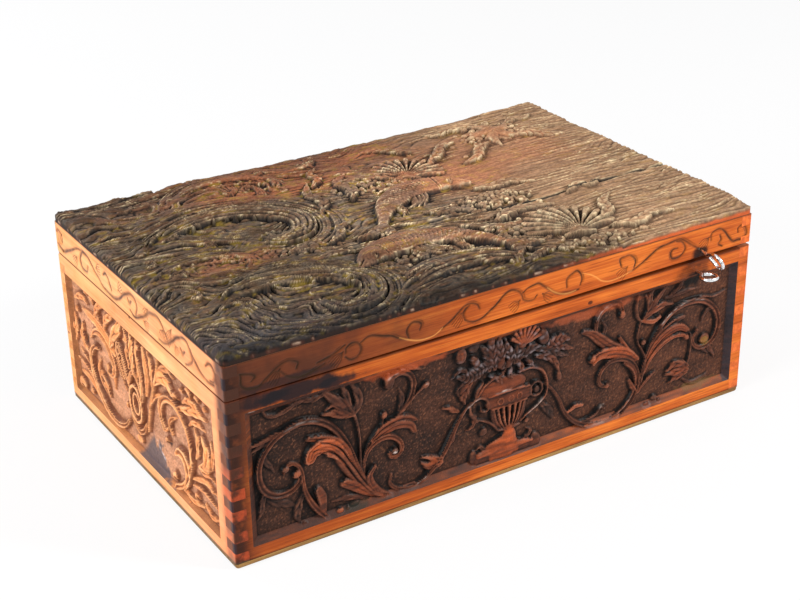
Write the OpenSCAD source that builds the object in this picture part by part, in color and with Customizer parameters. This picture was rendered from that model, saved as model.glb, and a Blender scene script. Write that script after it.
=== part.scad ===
// Carved wooden box with a hinged lid, in millimetres.
// The front faces -Y, the box stands on z = 0 and its middle is at x = 0, y = 0.

/* [Box] */
// Width along X, over the end boards
box_w = 400; // [360:1:480]
// Depth along Y, over the front and back boards
box_d = 258; // [220:1:320]
// Height of the four walls, above the bottom board
wall_h = 110.4; // [90:0.1:150]
// Thickness of the front and back boards, and of the lid's front and back rims
long_t = 11; // [10:0.5:14]
// Thickness of the end boards, and of the lid's end rims
end_t = 9; // [8:0.5:14]
// Thickness of the bottom board
bottom_t = 4; // [3:0.5:8]
// Radius of the bottom board's worn lower edge
bottom_round = 2.5; // [1:0.5:3]
// Number of fingers down each corner of the walls
wall_fingers = 15; // [9:2:21]
// Radius of the worn upright corners
corner_r = 1.5; // [0.5:0.5:3]

/* [Sunk panels] */
// Depth of the sunk ground below the face
panel_depth = 4; // [2:0.5:5]
// Width of the sloping side round a front or back panel
long_slope = 5; // [2:0.5:6]
// Width of the sloping side round an end panel
end_slope = 2; // [1:0.5:4]
// Border at the left of the front panel
front_left_border = 12; // [9:0.5:20]
// Border at the right of the front panel
front_right_border = 9.5; // [9:0.5:20]
// Border above the front panel
front_top_border = 10.1; // [9:0.1:16]
// Border below the front panel
front_low_border = 8.4; // [5:0.1:16]
// Border of an end panel beside the front corner
end_near_border = 20; // [8:0.5:26]
// Border of an end panel beside the back corner
end_far_border = 9; // [8:0.5:26]
// Border above an end panel
end_top_border = 12.9; // [6:0.1:20]
// Border below an end panel
end_low_border = 7.6; // [5:0.1:16]

/* [Lid] */
// Height of the lid's rim boards
rim_h = 22.5; // [18:0.1:40]
// Number of fingers down each corner of the rim
rim_fingers = 3; // [3:2:7]
// Gap between rim and walls at the hinges
lid_gap = 0.5; // [0.3:0.1:0.8]
// Extra gap at the front left corner, where the rim is worn
gape_left = 0.4; // [0:0.1:1]
// Extra gap at the front right corner, where the rim has warped upwards
gape_right = 2.1; // [0:0.1:3]
// Thickness of the two top planks at their edges
plank_t = 5.6; // [4:0.1:12]
// Depth of the front plank along Y
front_plank_d = 92; // [80:1:140]
// Shrinkage gap between the two planks
plank_gap = 0.6; // [0.3:0.1:1.5]
// Corner radius of the top
top_corner_r = 4; // [1:0.5:8]

/* [Lid relief] */
// Greatest height of the carved relief above the planks
relief_h = 8; // [7.8:0.1:12]
// Width of the two large rolling waves
wave_w = 18; // [12:1:22]
// Height of the two large rolling waves
wave_h = 6.5; // [3:0.1:7.5]
// Width of the smaller waves
ripple_w = 12; // [8:1:14]
// Height of the smaller waves
ripple_h = 4.8; // [2:0.1:6]
// Width of a fish at its middle
fish_w = 26; // [18:1:28]
// Height of a fish at its middle
fish_h = 7.4; // [4:0.1:7.6]
// Radius of the front plank's shell
front_shell_r = 24; // [14:1:26]
// Height of the front plank's shell
front_shell_h = 7; // [3:0.1:7.5]
// Radius of the rear plank's shell
rear_shell_r = 20; // [12:1:22]
// Height of the rear plank's shell
rear_shell_h = 5.4; // [3:0.1:7]
// Radius of the starfish
star_r = 24; // [16:1:28]
// Height of the starfish
star_h = 5; // [2:0.1:7]
// Width of a frond of weed
weed_w = 9; // [6:1:11]
// Height of a frond of weed
weed_h = 3.8; // [2:0.1:6]
// Radius of a heap of pebbles
heap_r = 13; // [8:1:14]
// Height of a heap of pebbles
heap_h = 4.2; // [2:0.1:6]

/* [Hinges] */
// Distance of each hinge from the middle of the box
hinge_x = 120; // [60:1:150]
// Length of a hinge along X
hinge_l = 38; // [30:1:60]
// Number of knuckles along a hinge
knuckle_count = 5; // [3:2:7]
// Radius of the hinge knuckles
knuckle_r = 2; // [1.8:0.1:2.2]
// Radius of the hinge pin
pin_r = 0.8; // [0.6:0.1:1]
// Thickness of a hinge leaf
leaf_t = 1; // [0.8:0.1:1.2]
// Reach of a leaf from the pin's axis
leaf_reach = 6.6; // [6.2:0.1:7]
// Depth of the V groove planed along the back of the joint
groove_d = 3; // [2.5:0.5:3.5]
// Slope of each side of the V groove, which stops the lid at twice this angle
groove_a = 51; // [46:1:58]
// Radius of a hinge screw's head
screw_head_r = 1.7; // [1.4:0.1:1.8]
// Depth of a hinge screw's head, let into its leaf
screw_head_h = 0.7; // [0.4:0.1:0.7]
// Radius of a hinge screw's shank
screw_r = 0.9; // [0.6:0.1:1]
// Length of a hinge screw
screw_l = 8; // [5:0.5:12]
// Spacing of the three screws in a leaf
screw_pitch = 13; // [8:0.5:13]

/* [Screw eyes] */
// Radius of an eye's ring, to the middle of its wire
ring_r = 5.4; // [4.8:0.1:6]
// Radius of an eye's wire
wire_r = 1.2; // [0.9:0.1:1.5]
// Radius of the bend between an eye's neck and its ring
bend_r = 2.4; // [2:0.1:3]
// Gap where the ring's end comes back beside the neck
eye_gap = 0.4; // [0.2:0.1:1]
// Length of an eye's thread in the wood
thread_l = 8.5; // [6:0.5:9]
// Distance of the lower eye from the right end
lower_eye_inset = 47; // [30:1:100]
// Height of the lower eye above the front panel's upper edge
lower_eye_rise = 1.7; // [1.6:0.1:4]
// Length of the lower eye's neck, from the wood to its throat
lower_neck = 5; // [3:0.1:9]
// Distance from the lower eye's throat to the middle of its ring
lower_throat = 7; // [6.5:0.1:11]
// Turn of the lower ring about its neck, from upright
lower_turn = 90; // [0:1:180]
// Droop of the lower eye
lower_droop = -3; // [-12:1:12]
// Distance of the upper eye from the right end
upper_eye_inset = 44.5; // [30:0.5:100]
// Height of the upper eye above the rim's lower edge
upper_eye_rise = 6; // [5:0.1:16]
// Length of the upper eye's neck, from the wood to its throat
upper_neck = 6.6; // [3:0.1:9]
// Distance from the upper eye's throat to the middle of its ring
upper_throat = 9.6; // [6.5:0.1:11]
// Turn of the upper ring about its neck, from upright
upper_turn = 26; // [0:1:180]
// Droop of the upper eye
upper_droop = 7; // [-12:1:12]

/* [Clearances] */
// Running clearance round a hinge pin
pin_clear = 0.05; // [0.02:0.01:0.1]
// Clearance between neighbouring knuckles, and between a knuckle and a leaf
knuckle_clear = 0.3; // [0.2:0.05:0.5]
// Clearance round a hinge in its recess
recess_clear = 0.1; // [0.05:0.05:0.3]
// Clearance round a screw or a thread in its hole
hole_clear = 0.05; // [0.02:0.01:0.1]

/* [Hidden] */
$fn = 48;
// Length by which a cut runs past the face that it opens
over = 1;
// How far stretches of wire stop short of each other, inside a swelling
joint_trim = 0.2;
joint_swell = 0.08;
wall_top = bottom_t + wall_h;
rim_low = wall_top + lid_gap;
rim_top = rim_low + rim_h;
plank_top = rim_top + plank_t;
front_y = -box_d / 2;
back_y = box_d / 2;
plank_joint_y = front_y + front_plank_d;
pin_y = back_y - groove_d;
pin_z = wall_top + lid_gap / 2;
knuckle_l = hinge_l / knuckle_count;
pocket_r = knuckle_r + recess_clear;
screw_y = pin_y - (leaf_reach + knuckle_r + knuckle_clear) / 2;
lower_eye_x = box_w / 2 - lower_eye_inset;
lower_eye_z = wall_top - front_top_border + lower_eye_rise;
upper_eye_x = box_w / 2 - upper_eye_inset;
upper_eye_z = rim_low + upper_eye_rise;
wood = [0.80, 0.42, 0.18];
end_wood = [0.86, 0.52, 0.26];
top_wood = [0.36, 0.27, 0.20];
base_wood = [0.62, 0.50, 0.26];
brass = [0.72, 0.56, 0.28];
steel = [0.78, 0.80, 0.83];

// Points of a rounded rectangle about the origin
function round_rect(w, d, r, steps = 6) = [
    for (corner = [0:3])
        let (sx = (corner == 0 || corner == 3) ? 1 : -1,
             sy = corner < 2 ? 1 : -1)
            for (step = [0:steps])
                let (a = 90 * (corner + step / steps))
                    [sx * (w / 2 - r) + r * cos(a), sy * (d / 2 - r) + r * sin(a)]
];

// Keeps what lies between two heights and inside the outline with eased corners
module within_outline(z0, z1, r = corner_r) {
    intersection() {
        children();
        translate([0, 0, z0])
            linear_extrude(z1 - z0)
                polygon(round_rect(box_w, box_d, r));
    }
}

// Board across the front, with slots for the end boards' fingers
module long_board(z0, h, fingers) {
    finger_h = h / fingers;
    difference() {
        translate([-box_w / 2, front_y, z0])
            cube([box_w, long_t, h]);
        for (x = [-box_w / 2 - over, box_w / 2 - end_t])
            for (i = [0:2:fingers - 1]) {
                below = i == 0 ? over : 0;
                above = i == fingers - 1 ? over : 0;
                translate([x, front_y - over, z0 + i * finger_h - below])
                    cube([end_t + over, long_t + 2 * over, finger_h + below + above]);
            }
    }
}

// Board along the left end, with slots for the front and back boards' fingers
module end_board(z0, h, fingers) {
    finger_h = h / fingers;
    difference() {
        translate([-box_w / 2, front_y, z0])
            cube([end_t, box_d, h]);
        for (y = [front_y - over, back_y - long_t])
            for (i = [1:2:fingers - 1])
                translate([-box_w / 2 - over, y, z0 + i * finger_h])
                    cube([end_t + 2 * over, long_t + over, finger_h]);
    }
}

// Shallow pocket with sloping sides, opening at y = 0 and sinking along +Y.
// Its lower left corner on the face is at the origin.
module sunk_pocket(w, h, slope) {
    flare = slope * over / panel_depth;
    intersection() {
        translate([0, 0, -flare])
            linear_extrude(h + 2 * flare)
                polygon([[-flare, -over], [w + flare, -over],
                         [w - slope, panel_depth], [slope, panel_depth]]);
        translate([-flare, 0, 0])
            rotate([90, 0, 90])
                linear_extrude(w + 2 * flare)
                    polygon([[-over, -flare], [-over, h + flare],
                             [panel_depth, h - slope], [panel_depth, slope]]);
    }
}

module front_pocket() {
    translate([-box_w / 2 + front_left_border, front_y, bottom_t + front_low_border])
        sunk_pocket(box_w - front_left_border - front_right_border,
                    wall_h - front_low_border - front_top_border, long_slope);
}

module left_pocket() {
    translate([-box_w / 2, back_y - end_far_border, bottom_t + end_low_border])
        rotate([0, 0, -90])
            sunk_pocket(box_d - end_near_border - end_far_border,
                        wall_h - end_low_border - end_top_border, end_slope);
}

// V groove along the back of the joint between walls and rim
module back_groove() {
    reach = groove_d + over;
    rise = reach * tan(groove_a);
    translate([-box_w / 2 - over, pin_y, pin_z])
        rotate([90, 0, 90])
            linear_extrude(box_w + 2 * over)
                polygon([[0, 0], [reach, -rise], [reach, rise]]);
}

// What is cut from all four walls once they are joined
module wall_cuts() {
    front_pocket();
    rotate([0, 0, 180])
        front_pocket();
    left_pocket();
    mirror([1, 0, 0])
        left_pocket();
    back_groove();
}

// Recesses for both hinges, with the leaves' recess between two heights
module hinge_recesses(z0, z1) {
    for (side = [-1, 1])
        translate([side * hinge_x - hinge_l / 2 - recess_clear, pin_y, 0]) {
            translate([0, 0, pin_z])
                rotate([0, 90, 0])
                    cylinder(r = pocket_r, h = hinge_l + 2 * recess_clear);
            translate([0, -leaf_reach - recess_clear, z0])
                cube([hinge_l + 2 * recess_clear, leaf_reach + recess_clear, z1 - z0]);
        }
}

// Places children at the six hinge screws in a face, with +Z into the wood
module at_screws(face, up) {
    for (side = [-1, 1])
        for (x = [-screw_pitch, 0, screw_pitch])
            translate([side * hinge_x + x, screw_y, face])
                rotate([up ? 0 : 180, 0, 0])
                    children();
}

module screw_holes(face, up) {
    at_screws(face, up)
        cylinder(r = screw_r + hole_clear, h = screw_l + hole_clear);
}

// Places children at an eye's seat on the front, with +Z out along its neck
module at_eye(x, z, droop) {
    translate([x, front_y, z])
        rotate([90 + droop, 0, 0])
            children();
}

module eye_hole(x, z, droop) {
    at_eye(x, z, droop)
        translate([0, 0, -thread_l - hole_clear])
            cylinder(r = wire_r + hole_clear, h = thread_l + hole_clear + over);
}

module front_wall() {
    color(wood)
        within_outline(bottom_t, wall_top)
            difference() {
                long_board(bottom_t, wall_h, wall_fingers);
                wall_cuts();
                eye_hole(lower_eye_x, lower_eye_z, lower_droop);
            }
}

module back_wall() {
    color(wood)
        within_outline(bottom_t, wall_top)
            difference() {
                rotate([0, 0, 180])
                    long_board(bottom_t, wall_h, wall_fingers);
                wall_cuts();
                hinge_recesses(wall_top - leaf_t, wall_top + over);
                screw_holes(wall_top, false);
            }
}

module left_end() {
    color(end_wood)
        within_outline(bottom_t, wall_top)
            difference() {
                end_board(bottom_t, wall_h, wall_fingers);
                wall_cuts();
            }
}

module right_end() {
    color(end_wood)
        within_outline(bottom_t, wall_top)
            difference() {
                mirror([1, 0, 0])
                    end_board(bottom_t, wall_h, wall_fingers);
                wall_cuts();
            }
}

// Bottom board with a worn lower edge and corners
module bottom_board() {
    edge_r = max(corner_r, bottom_round);
    color(base_wood)
        hull()
            for (sx = [-1, 1])
                for (sy = [-1, 1])
                    translate([sx * (box_w / 2 - edge_r), sy * (box_d / 2 - edge_r), 0]) {
                        translate([0, 0, bottom_round])
                            cylinder(r = edge_r, h = bottom_t - bottom_round, $fn = 32);
                        rotate_extrude($fn = 32)
                            translate([edge_r - bottom_round, bottom_round])
                                intersection() {
                                    circle(r = bottom_round, $fn = 32);
                                    translate([0, -bottom_round])
                                        square(bottom_round);
                                }
                    }
}

// Wedge that the front rim's lower edge leaves open
module front_gape() {
    translate([0, front_y + long_t + over, 0])
        rotate([90, 0, 0])
            linear_extrude(long_t + 2 * over)
                polygon([[-box_w / 2, rim_low - over], [box_w / 2, rim_low - over],
                         [box_w / 2, rim_low + gape_right], [-box_w / 2, rim_low + gape_left]]);
}

// Wedge that an end rim's lower edge leaves open, at the left end
module end_gape(gape) {
    translate([-box_w / 2 - over, 0, 0])
        rotate([90, 0, 90])
            linear_extrude(end_t + 2 * over)
                polygon([[front_y, rim_low - over], [pin_y, rim_low - over],
                         [pin_y, rim_low], [front_y, rim_low + gape]]);
}

module rim_front() {
    color(wood)
        within_outline(rim_low, rim_top)
            difference() {
                long_board(rim_low, rim_h, rim_fingers);
                front_gape();
                eye_hole(upper_eye_x, upper_eye_z, upper_droop);
            }
}

module rim_back() {
    color(wood)
        within_outline(rim_low, rim_top)
            difference() {
                rotate([0, 0, 180])
                    long_board(rim_low, rim_h, rim_fingers);
                back_groove();
                hinge_recesses(rim_low - over, rim_low + leaf_t);
                screw_holes(rim_low, true);
            }
}

// End rim at the left, with its gape at the front corner
module end_rim(gape) {
    color(end_wood)
        within_outline(rim_low, rim_top)
            difference() {
                end_board(rim_low, rim_h, rim_fingers);
                end_gape(gape);
                back_groove();
            }
}

module rim_left() {
    end_rim(gape_left);
}

module rim_right() {
    mirror([1, 0, 0])
        end_rim(gape_right);
}

// Routes of the carved forms, from the middle of their plank: x to the right, y to the back
front_wave = [[-184, 12], [-156, 26], [-124, 28], [-96, 16], [-80, -4], [-88, -24], [-108, -30], [-116, -16]];
rear_wave = [[-180, -17], [-150, 3], [-116, 11], [-86, 1], [-68, -21], [-74, -43], [-94, -49], [-102, -35]];
front_ripple = [[-72, -32], [-40, -16], [-8, -14], [16, -24], [12, -36]];
side_ripple = [[-194, -65], [-170, -51], [-144, -51], [-126, -63], [-130, -75]];
back_ripple = [[-134, 47], [-102, 63], [-70, 61], [-52, 47], [-56, 33]];
front_fish = [[-74, 12], [-54, 26], [-28, 30], [-2, 24], [16, 8], [26, -10]];
rear_fish = [[62, -35], [40, -25], [14, -27], [-8, -41], [-22, -59], [-30, -71]];
front_weeds = [[[38, 26], [52, 34], [70, 36], [90, 32]],
               [[98, -10], [112, 0], [118, 14], [132, 24]],
               [[100, -22], [116, -26], [132, -20], [148, -24]]];
rear_weeds = [[[-50, -25], [-40, -9], [-42, 9], [-32, 29]],
              [[-20, -15], [-12, -1], [-14, 17], [0, 31]],
              [[62, 15], [76, 25], [86, 37], [100, 41]],
              [[60, -47], [74, -50], [88, -48], [104, -56]],
              [[144, 25], [156, 21], [164, 11], [178, 7]],
              [[118, 21], [106, 15], [98, 5], [84, 1]]];

// Swelling of a form along its route, as shares of its width and height
wave_swell = [[0, 0.2], [0.3, 0.9], [0.6, 1], [1, 0.4]];
fish_swell = [[0, 0.3], [0.15, 0.8], [0.4, 1], [0.7, 0.75], [1, 0.3]];
weed_swell = [[0, 0.4], [0.4, 1], [1, 0.2]];

// Direction of a route at one of its points
function heading(route, i) =
    let (way = route[min(i + 1, len(route) - 1)] - route[max(i - 1, 0)])
        way / norm(way);

// Arch across a route at a point, with its two feet sunk into the plank
function arch(p, way, w, h) = concat(
    [for (a = [0:45:180])
        [p.x + way.y * w / 2 * cos(a), p.y - way.x * w / 2 * cos(a), h * sin(a)]],
    [for (side = [-1, 1])
        [p.x + side * way.y * w / 2, p.y - side * way.x * w / 2, -plank_t / 2]]
);

// Low ridge along a route, which swells and fades by a table
module ridge(route, w, h, swell) {
    last = len(route) - 1;
    rings = [for (i = [0:last])
        let (share = lookup(i / last, swell))
            arch(route[i], heading(route, i), w * share, h * share)];
    sides = len(rings[0]);
    polyhedron(
        points = [for (ring = rings) each ring],
        faces = concat(
            [[for (k = [sides - 1:-1:0]) k]],
            [for (i = [0:last - 1])
                for (k = [0:sides - 1])
                    let (a = i * sides + k, b = i * sides + (k + 1) % sides)
                        each [[a, b, b + sides], [a, b + sides, a + sides]]],
            [[for (k = [0:sides - 1]) last * sides + k]]),
        convexity = 6);
}

// Low dome, rooted in the plank
module low_dome(r, h) {
    root = plank_t / 2;
    ball_r = (r * r + h * h) / (2 * h);
    intersection() {
        translate([0, 0, h - ball_r])
            sphere(r = ball_r);
        translate([0, 0, -root])
            cylinder(r = r, h = h + root);
    }
}

// Starfish with five arms, and a dome that stays inside its waist
module starfish() {
    root = plank_t / 2;
    waist_r = star_r * 0.4;
    dome_r = waist_r * 0.85;
    translate([0, 0, -root])
        linear_extrude(root + star_h * 0.6)
            polygon([for (i = [0:9])
                let (r = i % 2 == 0 ? star_r : waist_r, a = 20 + i * 36)
                    [r * cos(a), r * sin(a)]]);
    low_dome(dome_r, star_h);
}

// Plank between two places along Y, with forms raised from its top
module carved_plank(y0, y1) {
    within_outline(rim_top, plank_top + relief_h, top_corner_r)
        intersection() {
            translate([-box_w / 2, y0, rim_top])
                cube([box_w, y1 - y0, plank_t + relief_h]);
            union() {
                translate([-box_w / 2 - over, y0 - over, rim_top])
                    cube([box_w + 2 * over, y1 - y0 + 2 * over, plank_t]);
                translate([0, (y0 + y1) / 2, plank_top])
                    children();
            }
        }
}

module plank_front() {
    color(top_wood)
        carved_plank(front_y, plank_joint_y - plank_gap / 2) {
            ridge(front_wave, wave_w, wave_h, wave_swell);
            ridge(front_ripple, ripple_w, ripple_h, wave_swell);
            ridge(front_fish, fish_w, fish_h, fish_swell);
            for (route = front_weeds)
                ridge(route, weed_w, weed_h, weed_swell);
            translate([76, -2, 0])
                low_dome(front_shell_r, front_shell_h);
        }
}

module plank_rear() {
    color(top_wood)
        carved_plank(plank_joint_y + plank_gap / 2, back_y) {
            ridge(rear_wave, wave_w, wave_h, wave_swell);
            ridge(side_ripple, ripple_w, ripple_h, wave_swell);
            ridge(back_ripple, ripple_w, ripple_h, wave_swell);
            ridge(rear_fish, fish_w, fish_h, fish_swell);
            for (route = rear_weeds)
                ridge(route, weed_w, weed_h, weed_swell);
            translate([40, 11, 0])
                low_dome(rear_shell_r, rear_shell_h);
            translate([134, 37, 0])
                starfish();
            for (x = [38, 68])
                translate([x, -68, 0])
                    low_dome(heap_r, heap_h);
        }
}

// Every other knuckle of the hinge at the middle, from the first one, made
// larger by a clearance on its radius and at each end
module knuckles(first, clear) {
    for (i = [first:2:knuckle_count - 1])
        translate([-hinge_l / 2 + i * knuckle_l + knuckle_clear / 2 - clear, pin_y, pin_z])
            rotate([0, 90, 0])
                cylinder(r = knuckle_r + clear, h = knuckle_l - knuckle_clear + 2 * clear);
}

// Leaf with its knuckles, from the first one; low is its lower face
module hinge_leaf(x, first, low, up) {
    face = up ? low : low + leaf_t;
    color(brass)
        difference() {
            translate([x, 0, 0])
                difference() {
                    union() {
                        difference() {
                            translate([-hinge_l / 2, pin_y - leaf_reach, low])
                                cube([hinge_l, leaf_reach, leaf_t]);
                            knuckles(1 - first, knuckle_clear);
                        }
                        knuckles(first, 0);
                    }
                    translate([-hinge_l / 2 - over, pin_y, pin_z])
                        rotate([0, 90, 0])
                            cylinder(r = pin_r + pin_clear, h = hinge_l + 2 * over);
                }
            at_screws(face, up) {
                translate([0, 0, -over])
                    cylinder(r = screw_head_r + hole_clear, h = screw_head_h + over);
                cylinder(r = screw_r + hole_clear, h = leaf_t + over);
            }
        }
}

module hinge_lower_left() {
    hinge_leaf(-hinge_x, 0, wall_top - leaf_t, false);
}

module hinge_lower_right() {
    hinge_leaf(hinge_x, 0, wall_top - leaf_t, false);
}

module hinge_upper_left() {
    hinge_leaf(-hinge_x, 1, rim_low, true);
}

module hinge_upper_right() {
    hinge_leaf(hinge_x, 1, rim_low, true);
}

module hinge_pin(x) {
    color(steel)
        translate([x - hinge_l / 2, pin_y, pin_z])
            rotate([0, 90, 0])
                cylinder(r = pin_r, h = hinge_l);
}

module hinge_pin_left() {
    hinge_pin(-hinge_x);
}

module hinge_pin_right() {
    hinge_pin(hinge_x);
}

// Screws with flat heads, let into the leaves
module leaf_screws(face, up) {
    color(brass)
        at_screws(face, up) {
            cylinder(r = screw_head_r, h = screw_head_h);
            cylinder(r = screw_r, h = screw_l);
        }
}

module hinge_screws_lower() {
    leaf_screws(wall_top, false);
}

module hinge_screws_upper() {
    leaf_screws(rim_low, true);
}

// Screw eye of one bent wire: thread and neck, a bend, a side, the ring, and
// a second side that ends beside the neck. The ring lies in the Y-Z plane.
module screw_eye(neck, throat, turn) {
    side_a = asin(ring_r / throat);
    side_l = sqrt(throat * throat - ring_r * ring_r);
    bend_l = bend_r * tan(side_a / 2);
    free_l = wire_r / tan(side_a) + eye_gap;
    color(steel)
        rotate([0, 0, turn]) {
            wire_side(0, -thread_l, neck - bend_l);
            translate([0, bend_r, neck - bend_l])
                wire_arc(bend_r, 180 - side_a, 180);
            translate([0, 0, neck]) {
                wire_side(-side_a, bend_l, side_l);
                wire_side(side_a, free_l, side_l);
                translate([0, 0, throat])
                    wire_arc(ring_r, -side_a, 180 + side_a);
            }
        }
}

// Wire round an arc in the Y-Z plane, between two angles from +Y towards +Z,
// with a slight swelling at each end that joins it to the next stretch
module wire_arc(r, a0, a1) {
    trim_a = joint_trim / r * 180 / PI;
    rotate([90, 0, 90]) {
        rotate([0, 0, a0 + trim_a])
            rotate_extrude(angle = a1 - a0 - 2 * trim_a)
                translate([r, 0])
                    circle(r = wire_r);
        for (a = [a0, a1])
            rotate([0, 0, a])
                translate([r, 0, 0])
                    sphere(r = wire_r + joint_swell);
    }
}

// Straight wire, turned about X, between two distances from the origin
module wire_side(a, l0, l1) {
    rotate([a, 0, 0])
        translate([0, 0, l0])
            cylinder(r = wire_r, h = l1 - l0 - joint_trim);
}

module eye_lower() {
    at_eye(lower_eye_x, lower_eye_z, lower_droop)
        screw_eye(lower_neck, lower_throat, lower_turn);
}

module eye_upper() {
    at_eye(upper_eye_x, upper_eye_z, upper_droop)
        screw_eye(upper_neck, upper_throat, upper_turn);
}

front_wall();
back_wall();
left_end();
right_end();
bottom_board();
rim_front();
rim_back();
rim_left();
rim_right();
plank_front();
plank_rear();
hinge_lower_left();
hinge_lower_right();
hinge_upper_left();
hinge_upper_right();
hinge_pin_left();
hinge_pin_right();
hinge_screws_lower();
hinge_screws_upper();
eye_lower();
eye_upper();
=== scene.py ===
"""Looks of the carved wooden box. Lengths are in millimetres until a mesh is made, then in metres."""
import math

import bpy
import numpy as np
from mathutils import Matrix, Vector


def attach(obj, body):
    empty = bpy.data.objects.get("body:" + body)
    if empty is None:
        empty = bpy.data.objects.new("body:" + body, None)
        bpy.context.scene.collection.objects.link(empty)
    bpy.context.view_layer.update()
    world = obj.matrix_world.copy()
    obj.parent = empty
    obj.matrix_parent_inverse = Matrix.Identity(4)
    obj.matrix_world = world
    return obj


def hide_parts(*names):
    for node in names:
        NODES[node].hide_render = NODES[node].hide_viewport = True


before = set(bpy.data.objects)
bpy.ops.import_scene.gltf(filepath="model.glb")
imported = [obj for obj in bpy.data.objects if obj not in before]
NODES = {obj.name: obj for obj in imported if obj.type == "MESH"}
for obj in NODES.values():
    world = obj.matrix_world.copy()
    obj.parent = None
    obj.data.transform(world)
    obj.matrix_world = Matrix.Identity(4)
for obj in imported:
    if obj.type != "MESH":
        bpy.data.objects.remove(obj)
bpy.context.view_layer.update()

# Sizes that the looks share with the solids
BOX_W = 400.0
BOX_D = 258.0
FACE_DEPTH = 4.0
WALL_TOP = 114.4
RIM_LOW = 114.9
RIM_TOP = 137.4
PLANK_TOP = 143.0
RELIEF_TOP = 150.4
END_T = 9.0
LONG_T = 11.0
CORNER_R = 1.5
RIM_FINGER = 7.5
GAPE_LEFT = 0.4
GAPE_RIGHT = 2.1
PIN_Y = 126.0
PLANK_JOINT = 92.0
PLANK_GAP = 0.6
PLANK_CORNER = 4.0
GROOVE_START = 255.2
GROOVE_RISE = 1.2308
MM = 1000.0

# The sunk panels' openings: first and last place along the wall, lowest and highest above the table
FRONT_OPENING = (12.0, 390.5, 12.4, 104.3)
END_OPENING = (20.0, 249.0, 11.6, 101.5)
PANEL_CELL = 0.6
RIM_CELL = 0.45
LID_CELL = 0.65

# Pushes the cells outside a form far below the ground, so that they are never kept
OUTSIDE = 9.0
# Most pairs of cells and curve points that are compared at a time
CHUNK = 4000000


# Carving tools: a field is a grid of heights in millimetres, with tone and cover beside it
class Field:
    """Grid over a rectangle, whose strokes keep the higher of what is there and what is added."""

    def __init__(self, x0, x1, y0, y1, cell):
        self.nx = int(round((x1 - x0) / cell)) + 1
        self.ny = int(round((y1 - y0) / cell)) + 1
        self.xs = np.linspace(x0, x1, self.nx)
        self.ys = np.linspace(y0, y1, self.ny)
        self.x, self.y = np.meshgrid(self.xs, self.ys)
        self.cell = cell
        self.height = np.zeros_like(self.x)
        self.tone = np.zeros_like(self.x)
        self.cover = np.zeros_like(self.x)

    def window(self, points, margin):
        """Slices of the grid that hold the points with a margin."""
        low = points.min(0) - margin
        high = points.max(0) + margin
        i0, i1 = np.searchsorted(self.xs, [low[0], high[0]])
        j0, j1 = np.searchsorted(self.ys, [low[1], high[1]])
        return slice(max(j0, 0), min(j1 + 1, self.ny)), slice(max(i0, 0), min(i1 + 1, self.nx))

    def lay(self, where, height, edge, tone, base=0.0):
        """Keeps the higher surface and takes its tone. edge is 1 on the new form and falls to 0 round it."""
        height = base + height * edge - (edge <= 0) * OUTSIDE
        old = self.height[where]
        higher = height > old
        old[higher] = height[higher]
        self.tone[where][higher] = tone if np.isscalar(tone) else tone[higher]
        self.cover[where] = np.maximum(self.cover[where], unit(height / 0.8))

    def noise(self, reach_y, reach_x, seed):
        """Smooth noise between -1 and 1, with features of about that many millimetres."""
        return soft_noise(self.x.shape, reach_y / self.cell, reach_x / self.cell, seed)

    def lower(self, drop):
        """Lowers the heights that the grid counts: what is drawn next comes out higher by the drop."""
        self.ys = self.ys - drop
        self.y = self.y - drop


def smooth_curve(points, spacing=0.5):
    """Even points along a curve through the given ones."""
    points = np.asarray(points, float)
    padded = np.vstack([2 * points[0] - points[1], points, 2 * points[-1] - points[-2]])
    pieces = []
    t = np.linspace(0.0, 1.0, 24, endpoint=False)[:, None]
    for a, b, c, d in zip(padded, padded[1:], padded[2:], padded[3:]):
        pieces.append(0.5 * (2 * b + (c - a) * t + (2 * a - 5 * b + 4 * c - d) * t ** 2
                             + (3 * b - a - 3 * c + d) * t ** 3))
    dense = np.vstack(pieces + [padded[-2:-1]])
    length = np.concatenate([[0.0], np.cumsum(np.hypot(*np.diff(dense, axis=0).T))])
    even = np.linspace(0.0, length[-1], max(int(length[-1] / spacing), 3))
    return np.column_stack([np.interp(even, length, dense[:, 0]), np.interp(even, length, dense[:, 1])])


def along_curve(field, where, curve):
    """Each cell's place along the curve (0 to 1) and signed distance from it, then the curve's length."""
    px = field.x[where].ravel()
    py = field.y[where].ravel()
    steps = np.diff(curve, axis=0)
    spacing = np.hypot(steps[:, 0], steps[:, 1]).mean()
    nearest = np.zeros(px.size, int)
    chunk = max(1, CHUNK // len(curve))
    for start in range(0, px.size, chunk):
        part = slice(start, start + chunk)
        gap = (px[part, None] - curve[None, :, 0]) ** 2 + (py[part, None] - curve[None, :, 1]) ** 2
        nearest[part] = gap.argmin(1)
    tangent = np.gradient(curve, axis=0)
    tangent /= np.hypot(tangent[:, 0], tangent[:, 1])[:, None] + 1e-9
    dx = px - curve[nearest, 0]
    dy = py - curve[nearest, 1]
    tx = tangent[nearest, 0]
    ty = tangent[nearest, 1]
    forward = dx * tx + dy * ty
    side = tx * dy - ty * dx
    inside = np.clip(forward, -spacing, spacing)
    over = np.abs(forward) - spacing
    beyond = np.where((over > 0) & ((nearest == 0) | (nearest == len(curve) - 1)), over, 0.0)
    distance = np.hypot(side, beyond)
    place = unit((nearest + inside / spacing) / (len(curve) - 1))
    shape = field.x[where].shape
    sign = np.where(side >= 0, 1.0, -1.0)
    return place.reshape(shape), (distance * sign).reshape(shape), spacing * (len(curve) - 1)


def spread(values, place):
    """Values spaced evenly along a stroke, at each place."""
    values = np.atleast_1d(np.asarray(values, float))
    if len(values) == 1:
        return np.full_like(place, values[0])
    return np.interp(place, np.linspace(0.0, 1.0, len(values)), values)


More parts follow.
